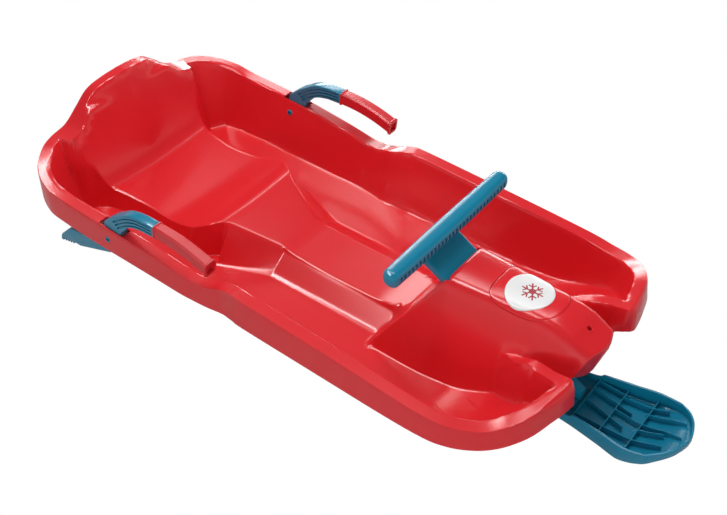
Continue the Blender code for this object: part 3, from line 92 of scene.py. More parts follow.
def ranged(tree, value, span, levels):
    """A value that runs over a span, carried in a straight line to run between two levels."""
    node = tree.nodes.new("ShaderNodeMapRange")
    for socket, number in zip(("From Min", "From Max", "To Min", "To Max"), (*span, *levels)):
        node.inputs[socket].default_value = number
    tree.links.new(value, node.inputs["Value"])
    return node.outputs["Result"]


def soft_lamp(name, at, to, wide, power, only_shine=False):
    """An oblong lamp turned from its place towards a point; a strip for shine lights nothing matt."""
    data = bpy.data.lights.new(name, "AREA")
    data.shape = "RECTANGLE"
    data.size, data.size_y = wide
    data.energy = power
    lamp = bpy.data.objects.new(name, data)
    bpy.context.scene.collection.objects.link(lamp)
    lamp.visible_diffuse = not only_shine
    lamp.location = at
    lamp.rotation_euler = (Vector(to) - Vector(at)).to_track_quat("-Z", "Y").to_euler()
    return lamp


floor_corners = [(x, y, FLOOR_LEVEL) for x, y in ((-FLOOR_REACH, -FLOOR_REACH), (FLOOR_REACH, -FLOOR_REACH),
                                                  (FLOOR_REACH, FLOOR_REACH), (-FLOOR_REACH, FLOOR_REACH))]
studio_floor = new_object("studio_floor", floor_corners, [(0, 1, 2, 3)])
floor_white = bpy.data.materials.new("studio_white")
floor_white.use_nodes = True
floor_tree = floor_white.node_tree
floor_tree.nodes.clear()
floor_matt = floor_tree.nodes.new("ShaderNodeBsdfDiffuse")
floor_matt.inputs["Color"].default_value = (FLOOR_SHADE, FLOOR_SHADE, FLOOR_SHADE, 1)
floor_plain = floor_tree.nodes.new("ShaderNodeEmission")
floor_seen = picked(floor_tree, "Is Camera Ray", floor_matt.outputs[0], floor_plain.outputs[0])
floor_tree.links.new(floor_seen, floor_tree.nodes.new("ShaderNodeOutputMaterial").inputs["Surface"])
studio_floor.data.materials.append(floor_white)

room = bpy.data.worlds.new("studio")
room.use_nodes = True
bpy.context.scene.world = room
room_tree = room.node_tree
room_tree.nodes.clear()
light, glow, backdrop = [room_tree.nodes.new("ShaderNodeBackground") for _ in range(3)]
for shade, strength in ((light, ROOM_LIGHT), (glow, 0.0), (backdrop, 1.0)):
    shade.inputs["Color"].default_value = (1, 1, 1, 1)
    shade.inputs["Strength"].default_value = strength
room_way = room_tree.nodes.new("ShaderNodeSeparateXYZ")
room_tree.links.new(room_tree.nodes.new("ShaderNodeTexCoord").outputs["Generated"], room_way.inputs[0])
horizon = ranged(room_tree, room_way.outputs["Z"], GLOW_HEIGHTS, GLOW_LEVELS)
room_tree.links.new(horizon, glow.inputs["Strength"])
room_seen = picked(room_tree, "Is Glossy Ray", light.outputs[0], glow.outputs[0])
room_seen = picked(room_tree, "Is Camera Ray", room_seen, backdrop.outputs[0])
room_tree.links.new(room_seen, room_tree.nodes.new("ShaderNodeOutputWorld").inputs["Surface"])

soft_lamp("overhead_lamp", (-0.2, 0.4, 2.4), (0.0, 0.0, 0.0), (1.4, 1.0), 27.0)
soft_lamp("rear_lamp", (-1.8, 1.9, 1.5), (0.0, 0.0, 0.1), (1.0, 0.6), 14.0)
soft_lamp("far_strip", (-0.9, 2.0, 0.60), (-0.1, 0.0, 0.12), (2.6, 0.20), 34.0, True)
soft_lamp("near_strip", (-0.85, -0.55, 1.7), (-0.1, -0.1, 0.1), (2.2, 0.30), 55.0, True)
soft_lamp("front_fill", (0.9, -2.0, 0.55), (0.1, -0.1, 0.1), (1.2, 0.7), 8.0).visible_glossy = False


# Tub rim: the tub is one moulding of glossy red plastic. Its rim is a flat ledge that stands high
# behind the rider's back, dips at the hands and sweeps up into a rounded lobe on each side of the nose.
REAR_X = -0.6135
REAR_CENTRE_X = -0.5995
REAR_CORNER_Y = 0.169
SIDE_HALF = 0.2565
HUMP_Z = 0.2324
HUMP_HALF = 0.0885
SHOULDER_Z = 0.1600
REAR_SIDE_Z = 0.1270
PIN_X = -0.3685
DIP_X = -0.166
DIP_Z = 0.1032
DIP_Y = SIDE_HALF - 0.0065
BULGE_X = -0.060
BULGE_Z = 0.1275
FRONT_LOW_X = 0.320
FRONT_LOW_Z = 0.1118
LOBE_X = 0.4630
LOBE_HALF = SIDE_HALF - 0.0055
LOBE_TIP_Y = 0.098
LOBE_Z = 0.1430
LEAF_TIP_X = 0.352
LEAF_TIP_Y = 0.059
LEAF_TIP_Z = 0.113


def spline(points, steps):
    """Smooth curve through points: each span is a cubic whose slope at either end is half the step
    between the two neighbours of that point."""
    pts = np.array(points, float)
    ext = np.vstack([2 * pts[0] - pts[1], pts, 2 * pts[-1] - pts[-2]])
    t = np.linspace(0, 1, steps, endpoint=False)[None, :, None]
    p0, p1, p2, p3 = (ext[i:len(ext) - 3 + i, None, :] for i in range(4))
    out = 0.5 * (2 * p1 + (p2 - p0) * t + (2 * p0 - 5 * p1 + 4 * p2 - p3) * t * t
                 + (3 * p1 - p0 - 3 * p2 + p3) * t ** 3)
    return np.vstack([out.reshape(-1, pts.shape[1]), pts[-1:]])


def rim_points():
    """Outer top edge of the rim on the left side, from the rear middle to the hood.

    The fourth value is how far the edge is rounded over, from a plain rim to the full lobe front.
    """
    rear_y = REAR_CORNER_Y
    return [
        (REAR_CENTRE_X, 0.0, HUMP_Z, 0.0),
        (REAR_CENTRE_X - 0.0040, HUMP_HALF * 0.43, HUMP_Z - 0.005, 0.0),
        (REAR_X + 0.0050, HUMP_HALF * 0.80, HUMP_Z - 0.0154, 0.0),
        (REAR_X + 0.0010, HUMP_HALF * 1.14, SHOULDER_Z + 0.0310, 0.0),
        (REAR_X + 0.0005, HUMP_HALF * 1.50, SHOULDER_Z + 0.0085, 0.0),
        (REAR_X, rear_y, SHOULDER_Z, 0.0),
        (REAR_X + 0.0130, rear_y + 0.0320, SHOULDER_Z - 0.0035, 0.0),
        (REAR_X + 0.0400, SIDE_HALF - 0.0210, SHOULDER_Z - 0.0150, 0.0),
        (REAR_X + 0.0800, SIDE_HALF - 0.0030, REAR_SIDE_Z + 0.0080, 0.0),
        (REAR_X + 0.1300, SIDE_HALF + 0.0005, REAR_SIDE_Z, 0.0),
        (PIN_X, SIDE_HALF, REAR_SIDE_Z - 0.0045, 0.0),
        (DIP_X - 0.0830, SIDE_HALF - 0.0035, DIP_Z + 0.0097, 0.0),
        (DIP_X - 0.0320, DIP_Y + 0.0020, DIP_Z + 0.0030, 0.0),
        (DIP_X, DIP_Y, DIP_Z, 0.0),
        (DIP_X + 0.0330, DIP_Y - 0.0020, DIP_Z + 0.0040, 0.0),
        (DIP_X + 0.0620, DIP_Y - 0.0045, BULGE_Z - 0.0090, 0.0),
        (BULGE_X - 0.0200, DIP_Y - 0.0020, BULGE_Z - 0.0010, 0.0),
        (BULGE_X + 0.0150, LOBE_HALF, BULGE_Z, 0.0),
        (0.5 * (BULGE_X + FRONT_LOW_X), LOBE_HALF, 0.5 * (BULGE_Z + FRONT_LOW_Z) + 0.001, 0.0),
        (FRONT_LOW_X - 0.0300, LOBE_HALF, FRONT_LOW_Z + 0.0005, 0.0),
        (FRONT_LOW_X + 0.0260, LOBE_HALF - 0.0065, FRONT_LOW_Z, 0.0),
        (LOBE_X - 0.0830, LOBE_HALF - 0.0165, LOBE_Z - 0.0260, 0.0),
        (LOBE_X - 0.0610, LOBE_HALF - 0.0280, LOBE_Z - 0.0210, 0.0),
        (LOBE_X - 0.0380, LOBE_HALF - 0.0480, LOBE_Z - 0.0120, 0.2),
        (LOBE_X - 0.0190, LOBE_HALF - 0.0760, LOBE_Z - 0.0050, 0.6),
        (LOBE_X - 0.0070, LOBE_TIP_Y + 0.0360, LOBE_Z - 0.0010, 1.0),
        (LOBE_X - 0.0015, LOBE_TIP_Y + 0.0080, LOBE_Z + 0.0015, 1.0),
        (LOBE_X - 0.0010, LOBE_TIP_Y - 0.0070, LOBE_Z + 0.0030, 1.0),
        (LOBE_X - 0.0100, LOBE_TIP_Y - 0.0160, LOBE_Z + 0.0030, 0.7),
        (LOBE_X - 0.0350, LEAF_TIP_Y + 0.0210, LOBE_Z - 0.0010, 0.7),
        (0.5 * (LOBE_X + LEAF_TIP_X) - 0.0180, LEAF_TIP_Y + 0.0120, 0.5 * (LOBE_Z + LEAF_TIP_Z) + 0.007, 0.8),
        (LEAF_TIP_X, LEAF_TIP_Y, LEAF_TIP_Z, 0.9),
        (LEAF_TIP_X - 0.0500, LEAF_TIP_Y - 0.0280, LEAF_TIP_Z - 0.0200, 1.0),
        (LEAF_TIP_X - 0.0700, 0.0, LEAF_TIP_Z - 0.0200, 1.0),
    ]


RIM = spline(rim_points(), 12)


def rim_distance(x, y):
    """Distance inward from the rim edge, and the rim's height and roundness at the nearest point of it."""
    px = np.asarray(x, float).ravel()
    py = np.abs(np.asarray(y, float)).ravel()
    ax, ay, az, around = RIM[:-1].T
    dx, dy, dz, turn = (RIM[1:] - RIM[:-1]).T
    length = dx * dx + dy * dy
    best = np.full(px.shape, 1e9)
    height = np.zeros(px.shape)
    rounded = np.zeros(px.shape)
    side = np.ones(px.shape)
    for i in range(len(ax)):
        t = np.clip(((px - ax[i]) * dx[i] + (py - ay[i]) * dy[i]) / length[i], 0, 1)
        ox = px - ax[i] - t * dx[i]
        oy = py - ay[i] - t * dy[i]
        far = ox * ox + oy * oy
        near = far < best - 1e-12
        best = np.where(near, far, best)
        height = np.where(near, az[i] + t * dz[i], height)
        rounded = np.where(near, around[i] + t * turn[i], rounded)
        side = np.where(near, np.sign(dx[i] * -oy + dy[i] * ox), side)
    inside = np.where(side == 0, 1.0, side)
    return [v.reshape(np.shape(x)) for v in (np.sqrt(best) * inside, height, rounded)]


# Seat: a dished pan against a sloping back, moulded in one with the tub. Its lip drops by a
# sloping front face to the raised platform that runs forward between the rider's legs.
BACK_FOOT_X = -0.5388
BACK_FOOT_Z = 0.0655
BACK_SLOPE = 4.2
BACK_HALF = 0.150
BACK_ROUND = 0.110
PAN_LOW_X = -0.430
PAN_LOW_Z = 0.0480
PAN_HALF = 0.1160
PAN_DISH = 0.006
LIP_X = -0.2470
LIP_Z = 0.0828
LIP_HALF = 0.089
SEAT_FOOT_X = -0.1425
SEAT_FOOT_Z = 0.0451
PLATFORM_Z = 0.0420
PLATFORM_HALF = 0.0500
HOOD_FOOT_X = 0.1081


def smooth_min(a, b, reach):
    """The lower of two heights; within reach of their crossing a parabola rounds the corner."""
    share = np.clip(0.5 + 0.5 * (b - a) / reach, 0.0, 1.0)
    return b * (1 - share) + a * share - reach * share * (1 - share)


def smooth_max(a, b, reach):
    """The higher of two heights, rounded the same way."""
    return -smooth_min(-a, -b, reach)


def through(knots, at):
    """Cubic pieces through (position, value) knots with slopes that never overshoot."""
    xs = np.array([k[0] for k in knots], float)
    ys = np.array([k[1] for k in knots], float)
    gap = np.diff(xs)
    rise = np.diff(ys) / gap
    slope = np.zeros(len(xs))
    slope[0] = rise[0]
    slope[-1] = rise[-1]
    same = rise[:-1] * rise[1:] > 0
    mean = 2 * rise[:-1] * rise[1:] / np.where(same, rise[:-1] + rise[1:], 1.0)
    slope[1:-1] = np.where(same, mean, 0.0)
    at = np.clip(np.asarray(at, float), xs[0], xs[-1])
    cell = np.clip(np.searchsorted(xs, at, side="right") - 1, 0, len(xs) - 2)
    t = (at - xs[cell]) / gap[cell]
    return ((1 + 2 * t) * (1 - t) ** 2 * ys[cell] + t * (1 - t) ** 2 * gap[cell] * slope[cell]
            + t * t * (3 - 2 * t) * ys[cell + 1] + t * t * (t - 1) * gap[cell] * slope[cell + 1])


def centre_line(x):
    """Middle height of the back, pan, lip, front face and platform: lines and curves blended in turn."""
    back = BACK_FOOT_Z + (BACK_FOOT_X - x) * BACK_SLOPE
    pan = through([
        (BACK_FOOT_X - 0.06, BACK_FOOT_Z - 0.004),
        (BACK_FOOT_X, BACK_FOOT_Z - 0.008),
        (PAN_LOW_X - 0.055, PAN_LOW_Z + 0.004),
        (PAN_LOW_X, PAN_LOW_Z),
        (PAN_LOW_X + 0.050, PAN_LOW_Z + 0.002),
        (LIP_X - 0.058, LIP_Z - 0.0155),
        (LIP_X - 0.020, LIP_Z - 0.003),
        (LIP_X + 0.010, LIP_Z + 0.0075),
    ], x)
    face = LIP_Z + (x - LIP_X) * (SEAT_FOOT_Z - LIP_Z) / (SEAT_FOOT_X - LIP_X)
    seat = smooth_min(smooth_max(back, pan, BACK_ROUND), face, 0.006)
    deck = PLATFORM_Z + through([
        (SEAT_FOOT_X, 0.0030),
        (SEAT_FOOT_X + 0.10, 0.0),
        (HOOD_FOOT_X - 0.05, 0.0025),
        (HOOD_FOOT_X + 0.02, 0.0140),
    ], x)
    return smooth_max(seat, deck, 0.008)


def seat_half(x):
    """Half width of the seat and of the platform behind the hood, as one smooth line."""
    return through([
        (BACK_FOOT_X - 0.05, BACK_HALF + 0.004),
        (BACK_FOOT_X - 0.016, BACK_HALF),
        (BACK_FOOT_X, 0.5 * (BACK_HALF + PAN_HALF)),
        (BACK_FOOT_X + 0.057, PAN_HALF + 0.004),
        (PAN_LOW_X, PAN_HALF),
        (LIP_X - 0.058, PAN_HALF + 0.009),
        (LIP_X - 0.030, PAN_HALF - 0.004),
        (LIP_X, LIP_HALF),
        (SEAT_FOOT_X, PLATFORM_HALF + 0.002),
        (HOOD_FOOT_X, PLATFORM_HALF - 0.006),
    ], x)


# Floor: moulded in one with the seat, it has a footwell on each side, level under the heels and
# rising at the toes, with a runner groove beside the platform. Seat and platform stand on it
# with sloping flanks.
FLOOR_Z = 0.0135
FOOTWELL_RISE_X = 0.255
FOOTWELL_FRONT_X = 0.425
FOOTWELL_FRONT_Z = 0.100
GROOVE_Z = 0.0036
GROOVE_INNER = 0.0620
GROOVE_OUTER = 0.0880
SEAT_BASE_HALF = 0.131
SEAT_FLANK = 5.0
FACE_REAR_LEAN = 1.55
FACE_FRONT_LEAN = 0.75
PLATFORM_FLANK = 3.2


def plain_floor(x):
    """Floor height along the tub, level under the rider's feet and rising at the toes."""
    return FLOOR_Z + through([
        (FOOTWELL_RISE_X - 0.08, 0.0),
        (FOOTWELL_RISE_X, 0.004),
        (FOOTWELL_RISE_X + 0.070, 0.024),
        (FOOTWELL_FRONT_X - 0.040, 0.056),
        (FOOTWELL_FRONT_X, FOOTWELL_FRONT_Z - FLOOR_Z),
        (FOOTWELL_FRONT_X + 0.050, FOOTWELL_FRONT_Z - FLOOR_Z + 0.05),
    ], x)


def tub_floor(x, y):
    """Floor with a runner groove on each side of the platform: a straight slope down to its bottom."""
    across_groove = np.clip((GROOVE_OUTER - y) / (GROOVE_OUTER - GROOVE_INNER), 0.0, 1.0)
    return plain_floor(x) - (FLOOR_Z - GROOVE_Z) * across_groove


def face_side(x):
    """Base half width and lean of the flanks of the seat's front face, each changing evenly along it."""
    front = np.clip((x - LIP_X) / (SEAT_FOOT_X - LIP_X), 0.0, 1.0)
    return (SEAT_BASE_HALF + (GROOVE_OUTER - SEAT_BASE_HALF) * front,
            FACE_REAR_LEAN + (FACE_FRONT_LEAN - FACE_REAR_LEAN) * front)


def seat_form(x, y):
    """Seat and platform as one raised form: the middle height cut down by steep side slopes."""
    half = seat_half(x)
    dish = PAN_DISH * np.clip(1 - (y / half) ** 2, 0, 1) * np.clip((LIP_X + 0.01 - x) / 0.05, 0, 1)
    edge = centre_line(x)
    steep = edge + (half - y) * SEAT_FLANK
    base, lean = face_side(x)
    gentle = FLOOR_Z + (base - y) * lean
    deck = PLATFORM_Z + (PLATFORM_HALF - y) * PLATFORM_FLANK
    ahead = smooth_max(gentle, deck, 0.006)
    near = np.clip((x - LIP_X + 0.006) / 0.012, 0, 1)
    return smooth_min(edge - dish, steep * (1 - near) + ahead * near, 0.005)


# Hood: the tub rises over the steering into a flat-topped hood with a sloping back wall, steep
# flanks and a rounded nose.
HOOD_FOOT_Z = 0.0302
HOOD_EDGE_X = 0.2107
HOOD_TOP_Z = 0.1815
HOOD_TOP_HALF = 0.0455
HOOD_SHOULDER_Z = 0.1600
HOOD_FLANK = 2.30
HOOD_CROWN = 0.007
NOSE_X = 0.4655
NOSE_HALF = 0.061
NOSE_DROP_X = 0.372
NOSE_TOP_Z = 0.1500
NOSE_RAKE = 6.0
TOW_X = 0.429


def hood_narrow(x):
    """How much wider or narrower the hood's shoulders are than at its middle."""
    return through([
        (HOOD_EDGE_X, 0.0080),
        (NOSE_DROP_X - 0.03, 0.0),
        (TOW_X - 0.01, -0.0045),
        (NOSE_X - 0.010, -0.0150),
    ], x)


def hood_back(x):
    """Height of the back wall: a straight slope from its foot to the hood's rear edge."""
    return HOOD_FOOT_Z + (x - HOOD_FOOT_X) * (HOOD_TOP_Z - HOOD_FOOT_Z) / (HOOD_EDGE_X - HOOD_FOOT_X)


def hood_form(x, y):
    """Hood: the lowest of a sloping back wall, a crowned top, steep flanks and a rounded nose."""
    ridge = through([
        (HOOD_EDGE_X, HOOD_TOP_Z),
        (NOSE_DROP_X, HOOD_TOP_Z - 0.001),
        (TOW_X - 0.012, HOOD_TOP_Z - 0.011),
        (TOW_X + 0.006, HOOD_TOP_Z - 0.020),
        (NOSE_X - 0.004, NOSE_TOP_Z),
    ], x)
    top = ridge - HOOD_CROWN * (y / HOOD_TOP_HALF) ** 2
    flank = HOOD_SHOULDER_Z + (HOOD_TOP_HALF + hood_narrow(x) - y) * HOOD_FLANK
    front = NOSE_TOP_Z + (NOSE_X - 0.002 - 0.030 * (y / NOSE_HALF) ** 2 - x) * NOSE_RAKE
    body = smooth_min(smooth_min(top, flank, 0.016), hood_back(x), 0.009)
    return smooth_min(body, front, 0.016)


# Tub skin: one moulded wall of even thickness joins rim, side walls, seat, floor and hood. A skirt
# hangs from the rim all round and is cut away under the nose and the lobes.
WALL = 0.0035
RIM_FLAT = 0.0215
RIM_FILLET = 0.0045
WALL_DRAFT = math.radians(14.0)
LOBE_ROUND = 0.0135
SKIRT_STEEP = 14.0
LOBE_STEEP = 3.2
SKIRT_DRAFT = 0.0018
SKIRT_REAR_Z = 0.0900
SKIRT_MID_Z = 0.0650
SKIRT_LOBE_Z = 0.1040
SKIRT_NOSE_Z = 0.0830
NOSE_UNDERCUT = 0.0190
NOTCH_X = 0.4250
NOTCH_Y = 0.072
GRID_STATIONS = 232
GRID_ROWS_IN = 33
GRID_ROWS_OUT = 24
EVENING_ROUNDS = 400
BAND_SHARES = (0, 0.015, 0.03, 0.045, 0.06, 0.08, 0.105, 0.135, 0.175, 0.24, 0.32, 0.39, 0.43, 0.46,
               0.49, 0.52, 0.56, 0.61, 0.68, 0.76, 0.84, 0.90, 0.95)
REAR_LIMIT_X = REAR_X - SKIRT_DRAFT - 0.0002


def surface(x, y):
    """Height of the tub's upper side: the bowl of walls, floor and seat, cut down to the rim's ledge and
    to the skirt's slope outside it, with the hood on top, all blended."""
    x = np.asarray(x, float)
    y = np.abs(np.asarray(y, float))
    inward, rim_z, front = rim_distance(x, y)
    wall = rim_z + (RIM_FILLET * 0.7 + RIM_FLAT - inward) / math.tan(WALL_DRAFT)
    bowl = smooth_max(wall, tub_floor(x, y), 0.014)
    bowl = smooth_max(bowl, seat_form(x, y), 0.006)
    steep = SKIRT_STEEP + (LOBE_STEEP - SKIRT_STEEP) * front
    start = RIM_FILLET * 0.35 + (0.375 * LOBE_ROUND - RIM_FILLET * 0.35) * front
    reach = 0.008 + (LOBE_ROUND - 0.008) * front
    skirt = rim_z + (inward - start) * steep
    tub = smooth_min(smooth_min(rim_z, bowl, 0.006), skirt, reach)
    return smooth_max(tub, hood_form(x, y), 0.006)


def skirt_bottom(x, y):
    """Height of the skirt's lower edge: a smooth line along each side, blended evenly into a level edge
    under the nose."""
    side = through([
        (REAR_X, SKIRT_REAR_Z + 0.004),
        (REAR_X + 0.040, SKIRT_REAR_Z),
        (REAR_X + 0.090, SKIRT_MID_Z + 0.012),
        (REAR_X + 0.290, SKIRT_MID_Z + 0.003),
        (DIP_X, SKIRT_MID_Z - 0.003),
        (BULGE_X, SKIRT_MID_Z + 0.003),
        (0.20, SKIRT_MID_Z),
        (FRONT_LOW_X, SKIRT_MID_Z + 0.002),
        (LOBE_X - 0.060, 0.5 * (SKIRT_MID_Z + SKIRT_LOBE_Z)),
        (LOBE_X - 0.010, SKIRT_LOBE_Z),
    ], x)
    nose = np.clip((NOTCH_Y + 0.004 - np.abs(y)) / (0.8 * NOTCH_Y), 0, 1) * (x > 0.5 * NOTCH_X)
    return side * (1 - nose) + SKIRT_NOSE_Z * nose


def inner_loop_y(x):
    """Half width of the floor grid: a smooth line that stays inside the foot of the side walls."""
    return through([
        (REAR_X + 0.040, REAR_CORNER_Y - 0.011),
        (REAR_X + 0.055, REAR_CORNER_Y + 0.001),
        (REAR_X + 0.090, SIDE_HALF - 0.0665),
        (REAR_X + 0.160, SIDE_HALF - 0.0565),
        (0.0, SIDE_HALF - 0.0525),
        (FOOTWELL_RISE_X + 0.025, SIDE_HALF - 0.0535),
        (FOOTWELL_FRONT_X - 0.075, SIDE_HALF - 0.0635),
        (FOOTWELL_FRONT_X - 0.030, SIDE_HALF - 0.0915),
    ], x)


def outline_points():
    """The whole edge of the tub on the left: rim edge, notch and nose."""
    rim = [(p[0], p[1]) for p in rim_points()]
    past = [i for i, p in enumerate(rim) if p[0] > LOBE_X - 0.011 and p[1] < LOBE_TIP_Y - 0.010][0]
    return rim[:past + 1] + [
        (0.5 * (LOBE_X + NOTCH_X) - 0.0045, NOTCH_Y + 0.0065),
        (NOTCH_X, NOTCH_Y),
        (NOTCH_X + 0.0110, NOSE_HALF + 0.0010),
        (NOSE_X - 0.0135, NOSE_HALF - 0.0210),
        (NOSE_X - 0.0030, NOSE_HALF - 0.0460),
        (NOSE_X, 0.0),
    ]


def run_length(points):
    """Length along a line of points up to each of them."""
    return np.concatenate([[0], np.cumsum(np.linalg.norm(np.diff(points, axis=0), axis=1))])


def paired_edge(inner):
    """For each point of the left half of the floor loop, the edge point that lies out from it: shared out
    by length between the corners, straight across along the sides, and evened out at the joins by
    repeated averages of neighbours."""
    edge = spline(outline_points(), 24)
    run = run_length(edge)
    rear = (edge[:, 1] > 0.15) & (edge[:, 0] < 0.3)
    corner = int(np.argmin(np.where(rear, np.abs(edge[:, 0] - REAR_X - 0.022), 10.0)))
    lobe = int(np.argmin(np.where(edge[:, 0] > 0.3, np.abs(edge[:, 1] - LOBE_HALF + 0.066), 10.0)))
    walk = run_length(inner)
    first = int(np.argmax(inner[:, 1] > inner_loop_y(inner[0, 0]) - 1e-9))
    last = len(inner) - 1 - int(np.argmax(inner[::-1, 0] < inner[-1, 0] - 1e-9))
    knots = [0, first, last, len(inner) - 1]
    place = np.interp(walk, walk[knots], run[[0, corner, lobe, len(edge) - 1]])
    straight = (inner[:, 0] > REAR_X + 0.085) & (inner[:, 0] < FRONT_LOW_X - 0.02) & (inner[:, 1] > 0.17)
    along = (edge[:, 1] > 0.2) & (edge[:, 0] < 0.36)
    order = np.argsort(edge[along, 0])
    place = np.where(straight, np.interp(inner[:, 0], edge[along, 0][order], run[along][order]), place)
    for _ in range(EVENING_ROUNDS):
        soft = 0.25 * place[:-2] + 0.5 * place[1:-1] + 0.25 * place[2:]
        place[1:-1] = np.where(straight[1:-1], place[1:-1], soft)
    return np.stack([np.interp(place, run, edge[:, k]) for k in range(2)], -1)


def crease_lines(x):
    """Half widths at which the seat, platform or hood turns down, and at which its flank meets the floor."""
    base, lean = face_side(x)
    middle = centre_line(x)
    half = seat_half(x)
    seat_low = half + (middle - FLOOR_Z) / SEAT_FLANK
    face_top = np.maximum(base - (middle - FLOOR_Z) / lean, PLATFORM_HALF)
    near = np.clip((x - LIP_X + 0.010) / 0.020, 0, 1)
    top = half * (1 - near) + face_top * near
    low = np.minimum(seat_low, SEAT_BASE_HALF + 0.01) * (1 - near) + base * near
    spread = HOOD_TOP_HALF + hood_narrow(x)
    hood_top = spread + (HOOD_SHOULDER_Z - np.minimum(hood_back(x), HOOD_SHOULDER_Z + 0.006)) / HOOD_FLANK
    hood_low = spread + (HOOD_SHOULDER_Z - plain_floor(x)) / HOOD_FLANK
    in_hood = np.clip((x - HOOD_FOOT_X + 0.004) / 0.008, 0, 1)
    return top * (1 - in_hood) + hood_top * in_hood, low * (1 - in_hood) + hood_low * in_hood


def dense_line(low, high, count, places, width, gain):
    """Stations from low to high, even in the running sum of a weight: one plus a gain times a bell curve
    of the given width at each place."""
    fine = np.linspace(low, high, 4001)
    weight = 1 + gain * sum(np.exp(-((fine - p) / width) ** 2) for p in places)
    share = np.concatenate([[0], np.cumsum(0.5 * (weight[1:] + weight[:-1]))])
    return np.interp(np.linspace(0, share[-1], count), share, fine)


def floor_grid():
    """Plan points inside the side walls: stations drawn together at the bends, and at each of them rows
    that follow the creases from the middle line out to the foot of the wall."""
    bends = (BACK_FOOT_X, LIP_X, SEAT_FOOT_X, HOOD_FOOT_X, HOOD_EDGE_X)
    xs = dense_line(REAR_X + 0.0475, FOOTWELL_FRONT_X - 0.030, GRID_STATIONS, bends, 0.010, 2.0)
    kernel = np.hanning(9)
    kernel /= kernel.sum()
    top, foot = [np.convolve(np.pad(line, 4, mode="edge"), kernel, mode="valid") for line in crease_lines(xs)]
    wide = inner_loop_y(xs)
    top = np.minimum(top, wide - 0.030)
    foot = np.minimum(np.maximum(foot, top + 0.008), wide - 0.018)
    marks = np.stack([np.zeros_like(xs), top, foot, wide], 1)
    rows = np.concatenate([np.linspace(0, 2, GRID_ROWS_IN)[:-1], 2 + np.linspace(0, 1, GRID_ROWS_OUT)])
    part = np.floor(np.minimum(rows, 2.9999)).astype(int)
    share = rows - part
    share -= 0.10 * np.sin(2 * np.pi * share)
    half = marks[:, part] + (marks[:, part + 1] - marks[:, part]) * share[None, :]
    across = np.concatenate([-half[:, :0:-1], half], axis=1)
    return np.stack([np.repeat(xs[:, None], across.shape[1], axis=1), across], -1)


def tub_sheet():
    """Points and faces of the upper side: the floor grid, and bands of rings from its edge out to the
    tub's outline. The outermost ring is dropped to the skirt's lower edge."""
    plan = floor_grid()
    nx, ny = plan.shape[:2]
    mid = ny // 2
    index = np.arange(nx * ny).reshape(nx, ny)
    loop = np.concatenate([index[0, mid:], index[1:, -1], index[-1, ny - 2:mid - 1:-1],
                           index[-1, mid - 1::-1], index[nx - 2::-1, 0], index[0, 1:mid]])
    left = (ny - mid) + (nx - 1) + (ny - 1 - mid)
    flat = plan.reshape(-1, 2)
    inner = flat[loop]
    outer = paired_edge(inner[:left])
    outer = np.concatenate([outer, outer[::-1][1:-1] * np.array([1, -1])])
    rings = outer[None] + (inner - outer)[None] * np.array(BAND_SHARES)[:, None, None]
    away = (outer - inner) / np.linalg.norm(outer - inner, axis=1)[:, None]
    under = np.clip((NOTCH_Y - np.abs(outer[:, 1])) / (0.3 * NOTCH_Y), 0, 1) * (outer[:, 0] > NOTCH_X)
    rings[0] = outer + away * (SKIRT_DRAFT - (SKIRT_DRAFT + NOSE_UNDERCUT) * under)[:, None]
    height = surface(rings[..., 0], rings[..., 1])
    height[0] = skirt_bottom(outer[:, 0], outer[:, 1])
    points = np.concatenate([np.concatenate([rings, height[..., None]], -1).reshape(-1, 3),
                             np.column_stack([flat, surface(flat[:, 0], flat[:, 1])])])
    first = len(BAND_SHARES) * len(loop)
    ids = np.vstack([np.arange(first).reshape(len(BAND_SHARES), -1), first + loop[None]])
    after = np.roll(ids, -1, axis=1)
    bands = np.stack([ids[:-1], ids[1:], after[1:], after[:-1]], -1).reshape(-1, 4)
    grid = first + index
    field = np.stack([grid[:-1, :-1], grid[1:, :-1], grid[1:, 1:], grid[:-1, 1:]], -1).reshape(-1, 4)
    return points, np.concatenate([bands, field])


def work_in(obj):
    """Give an object the mesh that its modifiers make of it, and clear them."""
    bpy.context.view_layer.update()
    made = bpy.data.meshes.new_from_object(obj.evaluated_get(bpy.context.evaluated_depsgraph_get()))
    obj.modifiers.clear()
    obj.data = made


tub_points, tub_faces = tub_sheet()
tub_points[:, 0] = np.maximum(tub_points[:, 0], REAR_LIMIT_X)
hull_skin = new_object("hull_skin", tub_points.tolist(), tub_faces.tolist())
hull_skin.data.validate()
shell = hull_skin.modifiers.new("shell", "SOLIDIFY")
shell.thickness = WALL
shell.offset = -1.0
shell.use_even_offset = False
work_in(hull_skin)


# Openings in the tub: a seat for the hood cover, a slot where the flat steering neck turns, the
# tow hole in the nose, and through each rim a bore for a brake pin and the slot that its lever
# moves in. All are moulded in.
FIT = 0.0003
CAP_REAR_X = 0.2710
CAP_TIP_X = 0.3875
CAP_HALF = 0.0440
AXIS_X = 0.1835
AXIS_Z = 0.1673
AXIS_SLOPE = math.radians(31.0)
NECK_HALF = 0.0455
NECK_THICK = 0.0140
STEER_TURN = math.radians(12.0)
OPENING_GAP = 0.0012
OPENING_BEHIND = 0.030
OPENING_AHEAD = 0.048
PIN_Z = 0.0958
PIN_RADIUS = 0.0060
BORE_REACH = 0.03
LEVER_Y = SIDE_HALF - 0.0140
LEVER_WIDE = 0.0180
LEVER_GAP = 0.0012
SLOT_REAR_X = -0.3880
SLOT_FRONT_X = -0.3290
SLOT_LOW_Z = PIN_Z + 0.012
TOW_RADIUS = 0.0036


